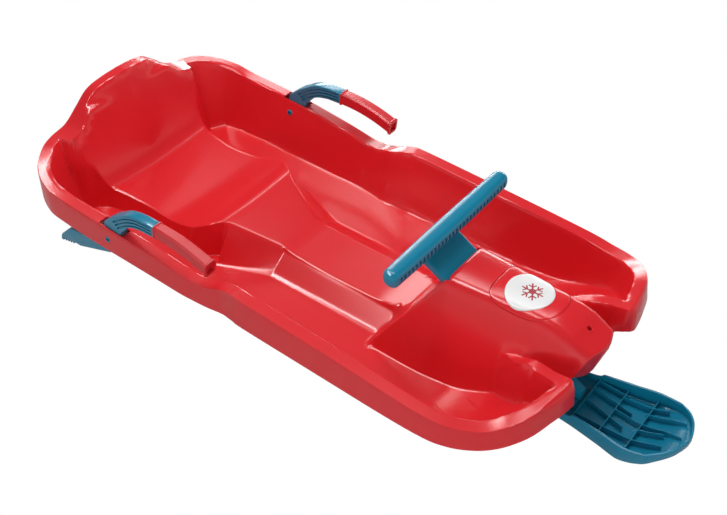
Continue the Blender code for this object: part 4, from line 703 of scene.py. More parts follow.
def cut_away(obj, cutter, kind="DIFFERENCE"):
    """Cut or join one closed mesh with another for good."""
    mod = obj.modifiers.new("cut", "BOOLEAN")
    mod.operation = kind
    mod.solver = "MANIFOLD"
    mod.object = cutter
    work_in(obj)
    bpy.data.objects.remove(cutter, do_unlink=True)


def loft(name, rings):
    """Closed skin over an array of rings (ring, point, xyz): quads from each ring to the next, and one
    face over each end, all turned outward."""
    rings = np.asarray(rings, float)
    count, n = rings.shape[:2]
    ids = np.arange(count * n).reshape(count, n)
    after = np.roll(ids, -1, axis=1)
    sides = np.stack([ids[:-1], after[:-1], after[1:], ids[1:]], -1).reshape(-1, 4)
    faces = sides.tolist() + [ids[0, ::-1].tolist(), ids[-1].tolist()]
    obj = new_object(name, rings.reshape(-1, 3).tolist(), faces)
    skin = bmesh.new()
    skin.from_mesh(obj.data)
    bmesh.ops.recalc_face_normals(skin, faces=skin.faces)
    skin.to_mesh(obj.data)
    skin.free()
    return obj


def slab(name, outline, low, high, upright=True):
    """Block over an outline: a plan outline between two heights, or a side outline between two widths."""
    outline = np.asarray(outline, float)
    rings = []
    for level in (low, high):
        flat = np.full(len(outline), level)
        cols = (outline[:, 0], outline[:, 1], flat) if upright else (outline[:, 0], flat, outline[:, 1])
        rings.append(np.column_stack(cols))
    return loft(name, rings)


def circle(radius, sides, centre=(0.0, 0.0)):
    """Points at even turns round a centre."""
    turn = 2 * np.pi * np.arange(sides) / sides
    return np.column_stack([radius * np.cos(turn), radius * np.sin(turn)]) + np.array(centre)


def in_frame(matrix, points):
    """Points of a local frame carried into the sled's own."""
    m = np.array(matrix)
    return np.asarray(points, float) @ m[:3, :3].T + m[:3, 3]


def block(name, low, high, matrix=Matrix.Identity(4)):
    """Block between two corners of a frame."""
    x0, y0, z0 = low
    x1, y1, z1 = high
    ring = np.array([[(x0, y0, z), (x1, y0, z), (x1, y1, z), (x0, y1, z)] for z in (z0, z1)])
    return loft(name, in_frame(matrix, ring.reshape(-1, 3)).reshape(2, 4, 3))


def cap_outline(grow):
    """Plan outline of the hood cover: straight at the rear, drawn to a blunt tip."""
    length = CAP_TIP_X - CAP_REAR_X
    knots = [(0.00, 0.0), (0.00, 0.55), (0.03, 0.80), (0.10, 0.95), (0.20, 1.00), (0.40, 1.01),
             (0.60, 0.98), (0.76, 0.91), (0.88, 0.77), (0.96, 0.54), (0.995, 0.22), (1.0, 0.0)]
    pts = np.array(knots) * np.array([length, CAP_HALF]) + np.array([CAP_REAR_X, 0])
    centre = np.array([CAP_REAR_X + 0.45 * length, 0.0])
    away = pts - centre
    pts = centre + away * (1 + grow / np.linalg.norm(away, axis=1)[:, None])
    pts[[0, -1], 1] = 0.0
    left = np.vstack([pts[:2], spline(pts[1:], 5)[1:]])
    return np.concatenate([left, left[::-1][1:-1] * np.array([1, -1])])


def pin_bore(side):
    """Round bar across one rim, as thick as a brake pin and its clearance."""
    mid = side * LEVER_Y
    return slab("pin_bore", circle(PIN_RADIUS + FIT, 40, (PIN_X, PIN_Z)), mid - BORE_REACH, mid + BORE_REACH,
                upright=False)


axis_frame = Matrix.Translation((AXIS_X, 0, AXIS_Z)) @ Matrix.Rotation(AXIS_SLOPE, 4, "Y")
opening_half = math.hypot(NECK_HALF, 0.5 * NECK_THICK) + 0.5 * OPENING_GAP
opening_rise = 0.5 * NECK_THICK * math.cos(STEER_TURN) + NECK_HALF * math.sin(STEER_TURN) + OPENING_GAP
cut_away(hull_skin, slab("cap_seat", cap_outline(0.0), HOOD_SHOULDER_Z - 0.030, HOOD_TOP_Z + 0.02))
cut_away(hull_skin, block("neck_opening", (-OPENING_BEHIND, -opening_half, -opening_rise),
                          (OPENING_AHEAD, opening_half, opening_rise), axis_frame))
cut_away(hull_skin, slab("tow_opening", circle(TOW_RADIUS, 32, (TOW_X, 0)), 0.12, 0.20))
for side in (1, -1):
    mid, half = side * LEVER_Y, 0.5 * LEVER_WIDE + LEVER_GAP
    cut_away(hull_skin, pin_bore(side))
    cut_away(hull_skin, block("lever_slot", (SLOT_REAR_X, mid - half, SLOT_LOW_Z),
                              (SLOT_FRONT_X, mid + half, SHOULDER_Z)))


# Ribs and tow sleeve: an upright rib under each side of the seat carries the tub on the snow, low
# ridges in the footwells grip the shoes, and a short sleeve stands under the tow hole. All are
# moulded on the tub. The sleeve starts as a full round, so the hole is bored again through both.
KEEL_HALF = 0.0025
KEEL_TOE = 0.012
RIDGE_HALF = 0.0019
RIDGE_TALL = 0.0011
RIDGE_SUNK = 0.0002
RIDGE_LINES = (((0.2535, 0.149), (0.272, 0.160), (0.2945, 0.1665)),
               ((0.2995, 0.122), (0.320, 0.132), (0.3375, 0.1385)),
               ((0.3395, 0.086), (0.356, 0.089), (0.3695, 0.0905)))
SLEEVE_WALL = 0.0026
SLEEVE_DEEP = 0.0140


def keel(side):
    """Rib as four lines along X: a narrow upright oblong from the ground to the underside of the seat,
    its rear end lifted by a parabola."""
    xs = np.linspace(BACK_FOOT_X + 0.030, SEAT_FOOT_X - 0.012, 40)
    mid = 0.5 * (GROOVE_INNER + GROOVE_OUTER)
    low = KEEL_TOE * np.clip((BACK_FOOT_X + 0.070 - xs) / 0.04, 0, 1) ** 2
    over = [surface(xs, np.full(xs.shape, mid + aside)) for aside in (-0.003, 0.0, 0.003)]
    high = np.min(over, axis=0) - 0.5 * WALL
    corners = ((-KEEL_HALF, low), (KEEL_HALF, low), (KEEL_HALF, high), (-KEEL_HALF, high))
    return loft("keel", np.stack([np.column_stack([xs, np.full(xs.shape, side * mid + dy), z])
                                  for dy, z in corners], 1))


def toe_ridge(line, side):
    """Half-round ridge along a curved line on the floor, its width and height falling off at the ends as
    the root of a sine."""
    path = spline(line, 8)
    way = np.gradient(path, axis=0)
    way /= np.linalg.norm(way, axis=1)[:, None]
    cross = np.column_stack([-way[:, 1], way[:, 0]])
    taper = np.sin(np.linspace(0.06, np.pi - 0.06, len(path)))[:, None] ** 0.5
    section = circle(1.0, 12)
    plan = path[:, None, :] + cross[:, None, :] * (RIDGE_HALF * taper * section[:, 0])[..., None]
    height = surface(plan[..., 0], plan[..., 1]) + RIDGE_TALL * taper * section[:, 1] - RIDGE_SUNK
    return loft("ridge", np.concatenate([plan * np.array([1, side]), height[..., None]], -1))


tow_top = float(surface(TOW_X, 0.0))
cut_away(hull_skin, slab("sleeve", circle(TOW_RADIUS + SLEEVE_WALL, 40, (TOW_X, 0)),
                         tow_top - SLEEVE_DEEP, tow_top - 0.0020), "UNION")
cut_away(hull_skin, slab("tow_hole", circle(TOW_RADIUS, 40, (TOW_X, 0)), tow_top - 0.03, tow_top + 0.02))
for side in (1, -1):
    cut_away(hull_skin, keel(side), "UNION")
for side in (1, -1):
    for line in RIDGE_LINES:
        cut_away(hull_skin, toe_ridge(line, side), "UNION")


# Red plastic of the tub: glossy polyethylene, coloured through, with the slow clouds and fine
# pores of a moulding and sparse rubbed marks that run along it.
CLOUD_SCALE = 9.0
RUB_SCALE = (6.0, 90.0, 90.0)
RUB_SPAN = (0.60, 0.78)
RUB_DULL = 0.03
CLOUD_DARK = 0.96
CLOUD_PALE = 1.04
PORE_SCALE = 900.0
PORE_DEEP = 0.0004


def noise_in(tree, vector, scale, detail=2.0):
    """Soft noise on a vector, as a number from 0 to 1."""
    node = tree.nodes.new("ShaderNodeTexNoise")
    node.inputs["Scale"].default_value = scale
    node.inputs["Detail"].default_value = detail
    tree.links.new(vector, node.inputs["Vector"])
    return node.outputs["Fac"]


def mixed(tree, share, first, second):
    """The first colour where the share is 0 and the second where it is 1; either may be a socket."""
    node = tree.nodes.new("ShaderNodeMix")
    node.data_type = "RGBA"
    for socket, colour in ((node.inputs["A"], first), (node.inputs["B"], second)):
        if hasattr(colour, "is_output"):
            tree.links.new(colour, socket)
        else:
            socket.default_value = (*colour, 1)
    tree.links.new(share, node.inputs["Factor"])
    return node.outputs["Result"]


def moulding_texture():
    """Node group shared by all the plastics: Cloud is slow noise, Rubbed the peaks of noise drawn out along
    X, and Normal a bump of fine noise as strong as the Pores input says."""
    group = bpy.data.node_groups.new("moulding_texture", "ShaderNodeTree")
    face = group.interface
    face.new_socket("Pores", in_out="INPUT", socket_type="NodeSocketFloat").default_value = 0.03
    face.new_socket("Cloud", in_out="OUTPUT", socket_type="NodeSocketFloat")
    face.new_socket("Rubbed", in_out="OUTPUT", socket_type="NodeSocketFloat")
    face.new_socket("Normal", in_out="OUTPUT", socket_type="NodeSocketVector")
    start = group.nodes.new("NodeGroupInput")
    end = group.nodes.new("NodeGroupOutput")
    place = group.nodes.new("ShaderNodeTexCoord").outputs["Object"]
    drawn = group.nodes.new("ShaderNodeMapping")
    drawn.inputs["Scale"].default_value = RUB_SCALE
    pores = group.nodes.new("ShaderNodeBump")
    pores.inputs["Distance"].default_value = PORE_DEEP
    group.links.new(place, drawn.inputs["Vector"])
    group.links.new(start.outputs["Pores"], pores.inputs["Strength"])
    group.links.new(noise_in(group, place, PORE_SCALE), pores.inputs["Height"])
    rubbed = ranged(group, noise_in(group, drawn.outputs[0], 1.0, 6.0), RUB_SPAN, (0.0, 1.0))
    group.links.new(noise_in(group, place, CLOUD_SCALE, 3.0), end.inputs["Cloud"])
    group.links.new(rubbed, end.inputs["Rubbed"])
    group.links.new(pores.outputs["Normal"], end.inputs["Normal"])
    return group


grain = moulding_texture()


def plastic(name, colour, roughness, pores):
    """Moulded plastic: an even colour with faint flow marks, a fine satin grain and sparse rubbed marks."""
    mat = bpy.data.materials.new(name)
    mat.use_nodes = True
    tree = mat.node_tree
    shader = tree.nodes["Principled BSDF"]
    skin = tree.nodes.new("ShaderNodeGroup")
    skin.node_tree = grain
    skin.inputs["Pores"].default_value = pores
    dark = [c * CLOUD_DARK for c in colour]
    pale = [min(1.0, c * CLOUD_PALE + 0.001) for c in colour]
    dull = ranged(tree, skin.outputs["Rubbed"], (0.0, 1.0), (roughness, roughness + RUB_DULL))
    tree.links.new(mixed(tree, skin.outputs["Cloud"], dark, pale), shader.inputs["Base Color"])
    tree.links.new(dull, shader.inputs["Roughness"])
    tree.links.new(skin.outputs["Normal"], shader.inputs["Normal"])
    return mat


def piece(obj, mat, body, node, angle=32):
    """Shading, material and frame entries of one finished piece."""
    obj.data.shade_smooth()
    obj.data.set_sharp_from_angle(angle=math.radians(angle))
    obj.data.materials.clear()
    obj.data.materials.append(mat)
    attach(obj, body)
    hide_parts(node)


red_plastic = plastic("red_moulded_plastic", (0.80, 0.018, 0.026), roughness=0.22, pores=0.03)
piece(hull_skin, red_plastic, "tub", "hull_shell", angle=38)


# Hood cover: a moulded red cover pressed into its seat in the hood, flush with it, with a fine
# seam round it and a shallow recess for the badge.
SEAM = 0.0007
PLATE_SHARES = (0.02, 0.15, 0.3, 0.45, 0.6, 0.75, 0.88, 0.96, 0.985, 1.0)
PLATE_ROUND = (0, 0, 0, 0, 0, 0, 0, 0, 0.0002, 0.0008)
BADGE_X = 0.3263
BADGE_LENGTH = 0.076
BADGE_WIDTH = 0.079
BADGE_NARROW = 0.12
BADGE_SUNK = 0.0009


def badge_outline(grow):
    """Plan outline of the badge: an ellipse whose width falls evenly towards the front."""
    turn = 2 * np.pi * np.arange(96) / 96
    reach_x = 0.5 * BADGE_LENGTH + grow
    reach_y = (0.5 * BADGE_WIDTH + grow) * (1 - BADGE_NARROW * np.cos(turn))
    return np.column_stack([BADGE_X + reach_x * np.cos(turn), reach_y * np.sin(turn)])


def fitted_plate(name, outline, bottom, top, edge=1.0):
    """Closed plate over the hood in rings drawn in from its outline: both faces are the hood's surface plus
    a height, and the top is rounded off at its edge."""
    centre = outline.mean(axis=0) * np.array([1, 0])
    rings = []
    for share, lower in zip(PLATE_SHARES, PLATE_ROUND):
        plan = centre + (outline - centre) * share
        rings.append(np.column_stack([plan, surface(plan[:, 0], plan[:, 1]) + top - edge * lower]))
    for share in PLATE_SHARES[::-1]:
        plan = centre + (outline - centre) * share
        rings.append(np.column_stack([plan, surface(plan[:, 0], plan[:, 1]) + bottom]))
    return loft(name, rings)


cap_cover = fitted_plate("cap_cover", cap_outline(-SEAM), -WALL, 0.0)
cut_away(cap_cover, fitted_plate("recess", badge_outline(FIT), -BADGE_SUNK, 0.01, edge=0.0))
piece(cap_cover, red_plastic, "tub", "hood_cap")


# Badge: a thin domed plate of plain white plastic set in the recess of the hood cover and
# printed in red with a six-armed snow crystal.
BADGE_THICK = 0.0014
CRYSTAL_X = BADGE_X + 0.003
CRYSTAL_RADIUS = 0.0185
ARM_HALF = 0.070
BRANCH_HALF = 0.063
BRANCH_FROM = 0.50
BRANCH_LONG = 0.42
BRANCH_LEAN = math.radians(52)
HEXAGON_AT = 0.24
BADGE_WHITE = ((0.86, 0.86, 0.86), (0.92, 0.92, 0.92))
BADGE_INK = (0.42, 0.010, 0.018)
BADGE_CLOUDS = 40.0
BADGE_ROUGHNESS = (0.30, 0.42)


def crystal_material():
    """White plastic with a red snow crystal: the angle is folded into one twelfth of a turn, where the
    arm, one pair of side branches and a small hexagon are bands of set distance from straight lines."""
    mat = bpy.data.materials.new("badge_print")
    mat.use_nodes = True
    tree = mat.node_tree
    shader = tree.nodes["Principled BSDF"]
    place = tree.nodes.new("ShaderNodeTexCoord").outputs["Object"]
    split = tree.nodes.new("ShaderNodeSeparateXYZ")
    tree.links.new(place, split.inputs[0])

    def work(kind, *values):
        """A math node on plain numbers and sockets."""
        node = tree.nodes.new("ShaderNodeMath")
        node.operation = kind
        for socket, value in zip(node.inputs, values):
            if hasattr(value, "is_output"):
                tree.links.new(value, socket)
            else:
                socket.default_value = value
        return node.outputs[0]

    sixth = math.pi / 3
    px = work("DIVIDE", work("SUBTRACT", split.outputs["X"], CRYSTAL_X), CRYSTAL_RADIUS)
    py = work("DIVIDE", split.outputs["Y"], CRYSTAL_RADIUS)
    away = work("SQRT", work("ADD", work("MULTIPLY", px, px), work("MULTIPLY", py, py)))
    turned = work("FLOORED_MODULO", work("ADD", work("ARCTAN2", py, px), 0.5 * sixth + 2 * math.pi), sixth)
    folded = work("ABSOLUTE", work("SUBTRACT", turned, 0.5 * sixth))
    out = work("MULTIPLY", away, work("COSINE", folded))
    aside = work("MULTIPLY", away, work("SINE", folded))
    arm = work("MULTIPLY", work("LESS_THAN", aside, ARM_HALF), work("LESS_THAN", out, 1.0))
    along_x, along_y = math.cos(BRANCH_LEAN), math.sin(BRANCH_LEAN)
    past = work("SUBTRACT", out, BRANCH_FROM)
    off = work("SUBTRACT", work("MULTIPLY", past, along_y), work("MULTIPLY", aside, along_x))
    run = work("ADD", work("MULTIPLY", past, along_x), work("MULTIPLY", aside, along_y))
    branch = work("LESS_THAN", work("ABSOLUTE", off), BRANCH_HALF)
    branch = work("MULTIPLY", branch, work("LESS_THAN", run, BRANCH_LONG))
    branch = work("MULTIPLY", branch, work("GREATER_THAN", run, 0.0))
    flat = work("ADD", work("MULTIPLY", out, math.cos(0.5 * sixth)), work("MULTIPLY", aside, 0.5))
    hexagon = work("LESS_THAN", work("ABSOLUTE", work("SUBTRACT", flat, HEXAGON_AT)), BRANCH_HALF)
    mark = work("MAXIMUM", work("MAXIMUM", arm, branch), hexagon)
    white = mixed(tree, noise_in(tree, place, BADGE_CLOUDS), *BADGE_WHITE)
    tree.links.new(mixed(tree, mark, white, BADGE_INK), shader.inputs["Base Color"])
    tree.links.new(ranged(tree, mark, (0.0, 1.0), BADGE_ROUGHNESS), shader.inputs["Roughness"])
    return mat


badge_low = 1.5 * FIT - BADGE_SUNK
badge = fitted_plate("badge", badge_outline(0.0), badge_low, badge_low + BADGE_THICK)
piece(badge, crystal_material(), "tub", "badge_plate")


# Handle bar: a moulded cross bar of teal plastic, deepest in the middle, its lower front edge
# notched by a comb of narrow slots. Two screws hold it in the saddle of the steering column.
BAR_X = 0.1685
BAR_Z = 0.2248
BAR_RISE = 0.0055
BAR_SWEEP = 0.0035
BAR_HALF = 0.157
BAR_THICK = 0.0307
BAR_DEEP = 0.034
BAR_TAPER = 0.006
COMB_COUNT = 30
COMB_PITCH = 0.0096
COMB_HALF = 0.0024
COMB_DEEP = 0.0085
COMB_TOP = 0.0050


def bar_line(y):
    """Middle of the bar and half its depth at a distance from the sled's middle: parabolas that sweep it
    forward, lift it and taper it towards its ends."""
    bend = (np.abs(y) / BAR_HALF) ** 2
    return BAR_X + BAR_SWEEP * bend, BAR_Z + BAR_RISE * bend, 0.5 * (BAR_DEEP - BAR_TAPER * bend)


def bar_form(name, grow, stations=121, sides=40):
    """Rings across the sled, each a superellipse of power 0.8; the ends close as a circle's arc."""
    y = np.sin(np.linspace(-0.5, 0.5, stations) * np.pi) * (BAR_HALF + grow)
    mid_x, mid_z, half_deep = bar_line(y)
    past = np.clip((np.abs(y) - (BAR_HALF - 0.4 * BAR_THICK)) / (0.4 * BAR_THICK + grow), 0, 1)
    close = np.sqrt(np.clip(1 - past ** 2, 0, 1)) * 0.97 + 0.03
    section = circle(1.0, sides)
    section = np.sign(section) * np.abs(section) ** 0.8
    x = mid_x[:, None] + ((half_deep + grow) * close)[:, None] * section[:, 0]
    z = mid_z[:, None] + ((0.5 * BAR_THICK + grow) * close)[:, None] * section[:, 1]
    return loft(name, np.stack([x, np.repeat(y[:, None], sides, 1), z], -1))


handle_bar = bar_form("handle_bar", 0.0)
for k in range(COMB_COUNT):
    y = (k - 0.5 * (COMB_COUNT - 1)) * COMB_PITCH
    mid_x, mid_z, half_deep = bar_line(y)
    front = mid_x + half_deep
    cut_away(handle_bar, block("slot", (front - COMB_DEEP, y - COMB_HALF, mid_z - 0.5 * BAR_THICK - 0.002),
                               (front + 0.004, y + COMB_HALF, mid_z + COMB_TOP)))
teal_plastic = plastic("teal_moulded_plastic", (0.005, 0.235, 0.385), roughness=0.24, pores=0.03)
piece(handle_bar, teal_plastic, "steering", "steering_bar")


# Steering column: one teal moulding of flat neck, riser, round shaft, gusset and foot. It turns
# in two bushes inside the hood, carries the bar in its saddle and stands on the ski.
NECK_UP = 0.0480
NECK_DOWN = 0.0620
SADDLE_HALF = 0.030
SADDLE_LENGTH = 0.026
SHAFT_RADIUS = 0.0130
SHAFT_END = 0.2560
COLLAR_RADIUS = 0.0175
COLLAR_WIDE = 0.004
REAR_BEARING_X = 0.262
BEARING_THICK = 0.010
BUSH_LENGTH = 0.035
SKI_WALL = 0.0035
SKI_FLOOR = SKI_WALL + 0.0005
FOOT_LENGTH = 0.056
FOOT_HALF = 0.024
FOOT_X = 0.4080
FOOT_THICK = 0.005
FOOT_LOW = SKI_FLOOR + FIT
GUSSET_HALF = 0.006
SCREW_RADIUS = 0.0022
BAR_SCREW_Y = 0.018


def rounded_section(half_y, half_z, corner, steps=6):
    """Rectangle with quarter-circle corners, as points in order."""
    turn = np.radians(np.linspace(0, 90, steps))
    pts = []
    for cy, cz, start in ((1, 1, 0), (-1, 1, 90), (-1, -1, 180), (1, -1, 270)):
        pts.append(np.column_stack([cy * (half_y - corner) + corner * np.cos(turn + math.radians(start)),
                                    cz * (half_z - corner) + corner * np.sin(turn + math.radians(start))]))
    return np.concatenate(pts)


def rod(name, radius, low, high, matrix, sides=48, bevel=0.0006):
    """Round bar along a frame's X with small rounded ends."""
    ends = ((low, radius - bevel), (low + bevel, radius), (high - bevel, radius), (high, radius - bevel))
    return loft(name, [in_frame(matrix, np.column_stack([np.full(sides, x), circle(wide, sides)]))
                       for x, wide in ends])


def along_axis(x):
    """Distance along the steering axis at a station of the sled."""
    return (x - AXIS_X) / math.cos(AXIS_SLOPE)


def axis_height(x, over):
    """Height of a line that lies over the sloping axis by a distance square to it."""
    return AXIS_Z - (x - AXIS_X) * math.tan(AXIS_SLOPE) + over / math.cos(AXIS_SLOPE)


def screw_gap(place, deep):
    """Round hole for a screw along a frame's X, from just over its head's seat down to a depth."""
    return rod("gap", SCREW_RADIUS + FIT, -0.001, deep, place, sides=24, bevel=0.0002)


def neck_form():
    """Flat neck in rings along the axis: an oblong with rounded corners and edges, drawn in at its lower
    end to the round shaft."""
    rings = []
    for at, half_y, half_z in ((-NECK_UP, NECK_HALF - 0.003, 0.5 * NECK_THICK - 0.002),
                               (-NECK_UP + 0.001, NECK_HALF - 0.001, 0.5 * NECK_THICK - 0.0006),
                               (-NECK_UP + 0.003, NECK_HALF, 0.5 * NECK_THICK),
                               (NECK_DOWN - 0.012, NECK_HALF, 0.5 * NECK_THICK),
                               (NECK_DOWN, NECK_HALF - 0.010, 0.5 * NECK_THICK + 0.001),
                               (NECK_DOWN + 0.012, SHAFT_RADIUS + 0.002, SHAFT_RADIUS - 0.003)):
        section = rounded_section(half_y, half_z, min(0.004, half_z * 0.8))
        rings.append(in_frame(axis_frame, np.column_stack([np.full(len(section), at), section])))
    return loft("column", rings)


def riser_form():
    """Oblong post with rounded corners, from inside the neck up into the bar."""
    section = rounded_section(SADDLE_HALF, 0.5 * SADDLE_LENGTH, 0.003)
    rings = []
    for z in (0.3 * NECK_THICK, bar_local.z - 0.25 * BAR_THICK):
        rings.append(in_frame(axis_frame, np.column_stack([bar_local.x + section[:, 1], section[:, 0],
                                                           np.full(len(section), z)])))
    return loft("riser", rings)


def gusset_form():
    """Upright web between the foot and the sloping shaft, cut from its side outline."""
    rear = FOOT_X - 0.5 * FOOT_LENGTH + 0.004
    front = FOOT_X + 0.5 * FOOT_LENGTH + 0.0025
    inside = FOOT_LOW + 0.5 * FOOT_THICK
    return slab("gusset", [(rear, inside), (front - 0.003, inside), (front, FOOT_LOW + FOOT_THICK),
                           (front, axis_height(front, SHAFT_RADIUS)),
                           (rear, axis_height(rear, SHAFT_RADIUS - 0.0004))],
                -GUSSET_HALF, GUSSET_HALF, upright=False)


bar_local = axis_frame.inverted() @ Vector((BAR_X, 0, BAR_Z))
collar_end = along_axis(REAR_BEARING_X + 0.5 * BEARING_THICK) - 0.5 * BUSH_LENGTH - FIT
column = neck_form()
cut_away(column, riser_form(), "UNION")
cut_away(column, bar_form("saddle", FIT))
cut_away(column, rod("shaft", SHAFT_RADIUS, NECK_DOWN - 0.004, SHAFT_END, axis_frame), "UNION")
cut_away(column, rod("collar", COLLAR_RADIUS, collar_end - COLLAR_WIDE, collar_end, axis_frame), "UNION")
cut_away(column, block("foot", (FOOT_X - 0.5 * FOOT_LENGTH, -FOOT_HALF, FOOT_LOW),
                       (FOOT_X + 0.5 * FOOT_LENGTH, FOOT_HALF, FOOT_LOW + FOOT_THICK)), "UNION")
cut_away(column, gusset_form(), "UNION")
bar_screw_deep = 0.5 * NECK_THICK + bar_local.z - 0.1 * BAR_THICK + 0.001
for side in (1, -1):
    seat = (Matrix.Translation((bar_local.x, side * BAR_SCREW_Y, -0.5 * NECK_THICK - FIT))
            @ Matrix.Rotation(math.radians(-90), 4, "Y"))
    for target in (column, handle_bar):
        cut_away(target, screw_gap(axis_frame @ seat, bar_screw_deep))
piece(column, teal_plastic, "steering", "steering_column")


# Ski: a shallow tray of teal plastic with a turned-up tip and low side walls, its floor
# stiffened by thin ribs. Four screws hold it to the column's foot.
SKI_REAR_X = 0.3380
SKI_TIP_X = 0.6155
SKI_REAR_HALF = 0.036
SKI_WAIST_X = 0.4500
SKI_WAIST_HALF = 0.0510
SKI_WIDE_X = 0.5416
SKI_WIDE_HALF = 0.0660
SKI_REAR_WALL = 0.0150
SKI_STEP = 0.0060
SKI_FRONT_WALL = 0.0330
SKI_TIP_TOP = 0.0470
SKI_BEND_X = 0.5275
SKI_TIP_BOTTOM = 0.0330
SKI_RIB = 0.0019
SKI_RIB_DROP = 0.006
SKI_RIB_TALL = 0.0160
SKI_SCREW_PAST = 0.0023
RIBS_ACROSS = (0.4445, 0.491, 0.5385)
RIBS_ALONG = ((0.4445, 0.027, 0.517, 0.015), (0.4445, 0.001, 0.517, -0.017), (0.491, 0.037, 0.564, 0.046),
              (0.4445, -0.036, 0.585, -0.030), (0.491, 0.008, 0.602, -0.001), (0.535, 0.027, 0.598, 0.029),
              (0.5385, -0.009, 0.578, -0.006), (0.4445, 0.045, 0.499, 0.042))


def ski_half(x):
    """Half width along the ski: a smooth line, narrow at the rear, widest before the round tip."""
    return through([(SKI_REAR_X, SKI_REAR_HALF - 0.010), (SKI_REAR_X + 0.010, SKI_REAR_HALF),
                    (SKI_WAIST_X - 0.030, SKI_WAIST_HALF - 0.0015), (SKI_WAIST_X, SKI_WAIST_HALF + 0.0015),
                    (0.5 * (SKI_WAIST_X + SKI_WIDE_X), 0.5 * (SKI_WAIST_HALF + SKI_WIDE_HALF) + 0.0005),
                    (SKI_WIDE_X, SKI_WIDE_HALF), (SKI_TIP_X - 0.0457, SKI_WIDE_HALF - 0.003),
                    (SKI_TIP_X - 0.0254, SKI_WIDE_HALF - 0.015), (SKI_TIP_X - 0.0110, SKI_WIDE_HALF - 0.031),
                    (SKI_TIP_X - 0.0030, SKI_WIDE_HALF - 0.049), (SKI_TIP_X, 0.006)], x)


def ski_bottom(x):
    """Height of the sole: lifted a little at the rear, level to the bend, then curved up to the tip."""
    return through([(SKI_REAR_X, 0.004), (SKI_REAR_X + 0.015, 0.0), (SKI_BEND_X, 0.0),
                    (SKI_BEND_X + 0.024, 0.18 * SKI_TIP_BOTTOM), (SKI_BEND_X + 0.046, 0.48 * SKI_TIP_BOTTOM),
                    (SKI_TIP_X - 0.021, 0.82 * SKI_TIP_BOTTOM), (SKI_TIP_X, SKI_TIP_BOTTOM)], x)


def ski_top(x):
    """Height of the tray's edge: low at the foot, then stepped up and rising smoothly to the tip."""
    return through([(SKI_REAR_X, SKI_REAR_WALL), (SKI_WAIST_X - 0.024, SKI_REAR_WALL + 0.0014),
                    (SKI_WAIST_X - 0.008, SKI_REAR_WALL + 0.0047),
                    (SKI_WAIST_X - 0.002, SKI_REAR_WALL + 0.0047 + SKI_STEP), (SKI_WIDE_X, SKI_FRONT_WALL),
                    (SKI_TIP_X - 0.0457, SKI_FRONT_WALL + 0.004), (SKI_TIP_X - 0.0254, SKI_TIP_TOP - 0.004),
                    (SKI_TIP_X, SKI_TIP_TOP)], x)


def ski_tray():
    """Closed shell in rings round the plan outline: sole, outer wall, rounded edge, inner wall and floor,
    each ring drawn in from the outline towards the middle line by its own distance."""
    xs = np.concatenate([np.linspace(SKI_REAR_X, SKI_WIDE_X, 90), SKI_TIP_X
                         - (SKI_TIP_X - SKI_WIDE_X) * (1 - np.sin(np.linspace(0, 0.5 * np.pi, 60)[1:]))])
    half = ski_half(xs)
    end_y = np.linspace(half[0], 0, 8)[1:]
    tip_y = np.linspace(half[-1], 0, 6)[1:]
    left = np.concatenate([np.column_stack([np.full(7, xs[0]), end_y[::-1]]), np.column_stack([xs, half]),
                           np.column_stack([np.full(5, xs[-1]), tip_y])])
    loop = np.concatenate([left, left[::-1][1:-1] * np.array([1, -1])])
    middle_x = np.clip(loop[:, 0], SKI_REAR_X + 0.030, SKI_TIP_X - 0.055)
    way = np.column_stack([middle_x, np.zeros(len(loop))]) - loop
    reach = np.linalg.norm(way, axis=1)[:, None]
    tangent = np.roll(loop, -1, 0) - np.roll(loop, 1, 0)
    normal = np.column_stack([-tangent[:, 1], tangent[:, 0]])
    normal /= np.linalg.norm(normal, axis=1)[:, None]
    slant = np.clip(np.abs((normal * way / reach).sum(1))[:, None], 0.45, 1)
    rings = []

    def ring(inward, level, share=None):
        plan = loop + way * (share if share is not None else inward / slant / reach)
        x = plan[:, 0]
        low, high = ski_bottom(x), ski_top(loop[:, 0])
        z = {"sole": low, "floor": low + SKI_FLOOR, "edge": high}[level[0]] + level[1]
        rings.append(np.column_stack([plan, z]))

    for share in (0.999, 0.75, 0.5, 0.25, 0.1):
        ring(0, ("sole", 0.0), share)
    for inward, rise in ((0.0016, 0.0), (0.0005, 0.0005), (0.0, 0.0016)):
        ring(inward, ("sole", rise))
    for inward, rise in ((0.0, -0.0010), (0.0003, -0.0003), (0.0010, 0.0), (0.0025, 0.0), (0.0032, -0.0003),
                         (0.0035, -0.0010)):
        ring(inward, ("edge", rise))
    for inward, rise in ((0.0036, 0.0030), (0.0042, 0.0010), (0.0062, 0.0)):
        ring(inward, ("floor", rise))
    for share in (0.15, 0.25, 0.5, 0.75, 0.999):
        ring(0, ("floor", 0.0), share)
    return loft("ski_tray", np.array(rings))


def ski_rib(x0, y0, x1, y1):
    """Thin rib between two plan points, its top a set height over the sole."""
    start, end = np.array([x0, y0]), np.array([x1, y1])
    way = (end - start) / np.linalg.norm(end - start)
    off = np.array([-way[1], way[0]])
    mid = start + (end - start) * np.linspace(0, 1, 24)[:, None]
    low = ski_bottom(mid[:, 0]) + 0.4 * SKI_WALL
    high = np.minimum(ski_top(mid[:, 0]) - SKI_RIB_DROP, ski_bottom(mid[:, 0]) + SKI_RIB_TALL)
    corners = ((-0.5 * SKI_RIB, low), (0.5 * SKI_RIB, low), (0.34 * SKI_RIB, high), (-0.34 * SKI_RIB, high))
    return loft("rib", np.stack([np.column_stack([mid + off * w, z]) for w, z in corners], 1))


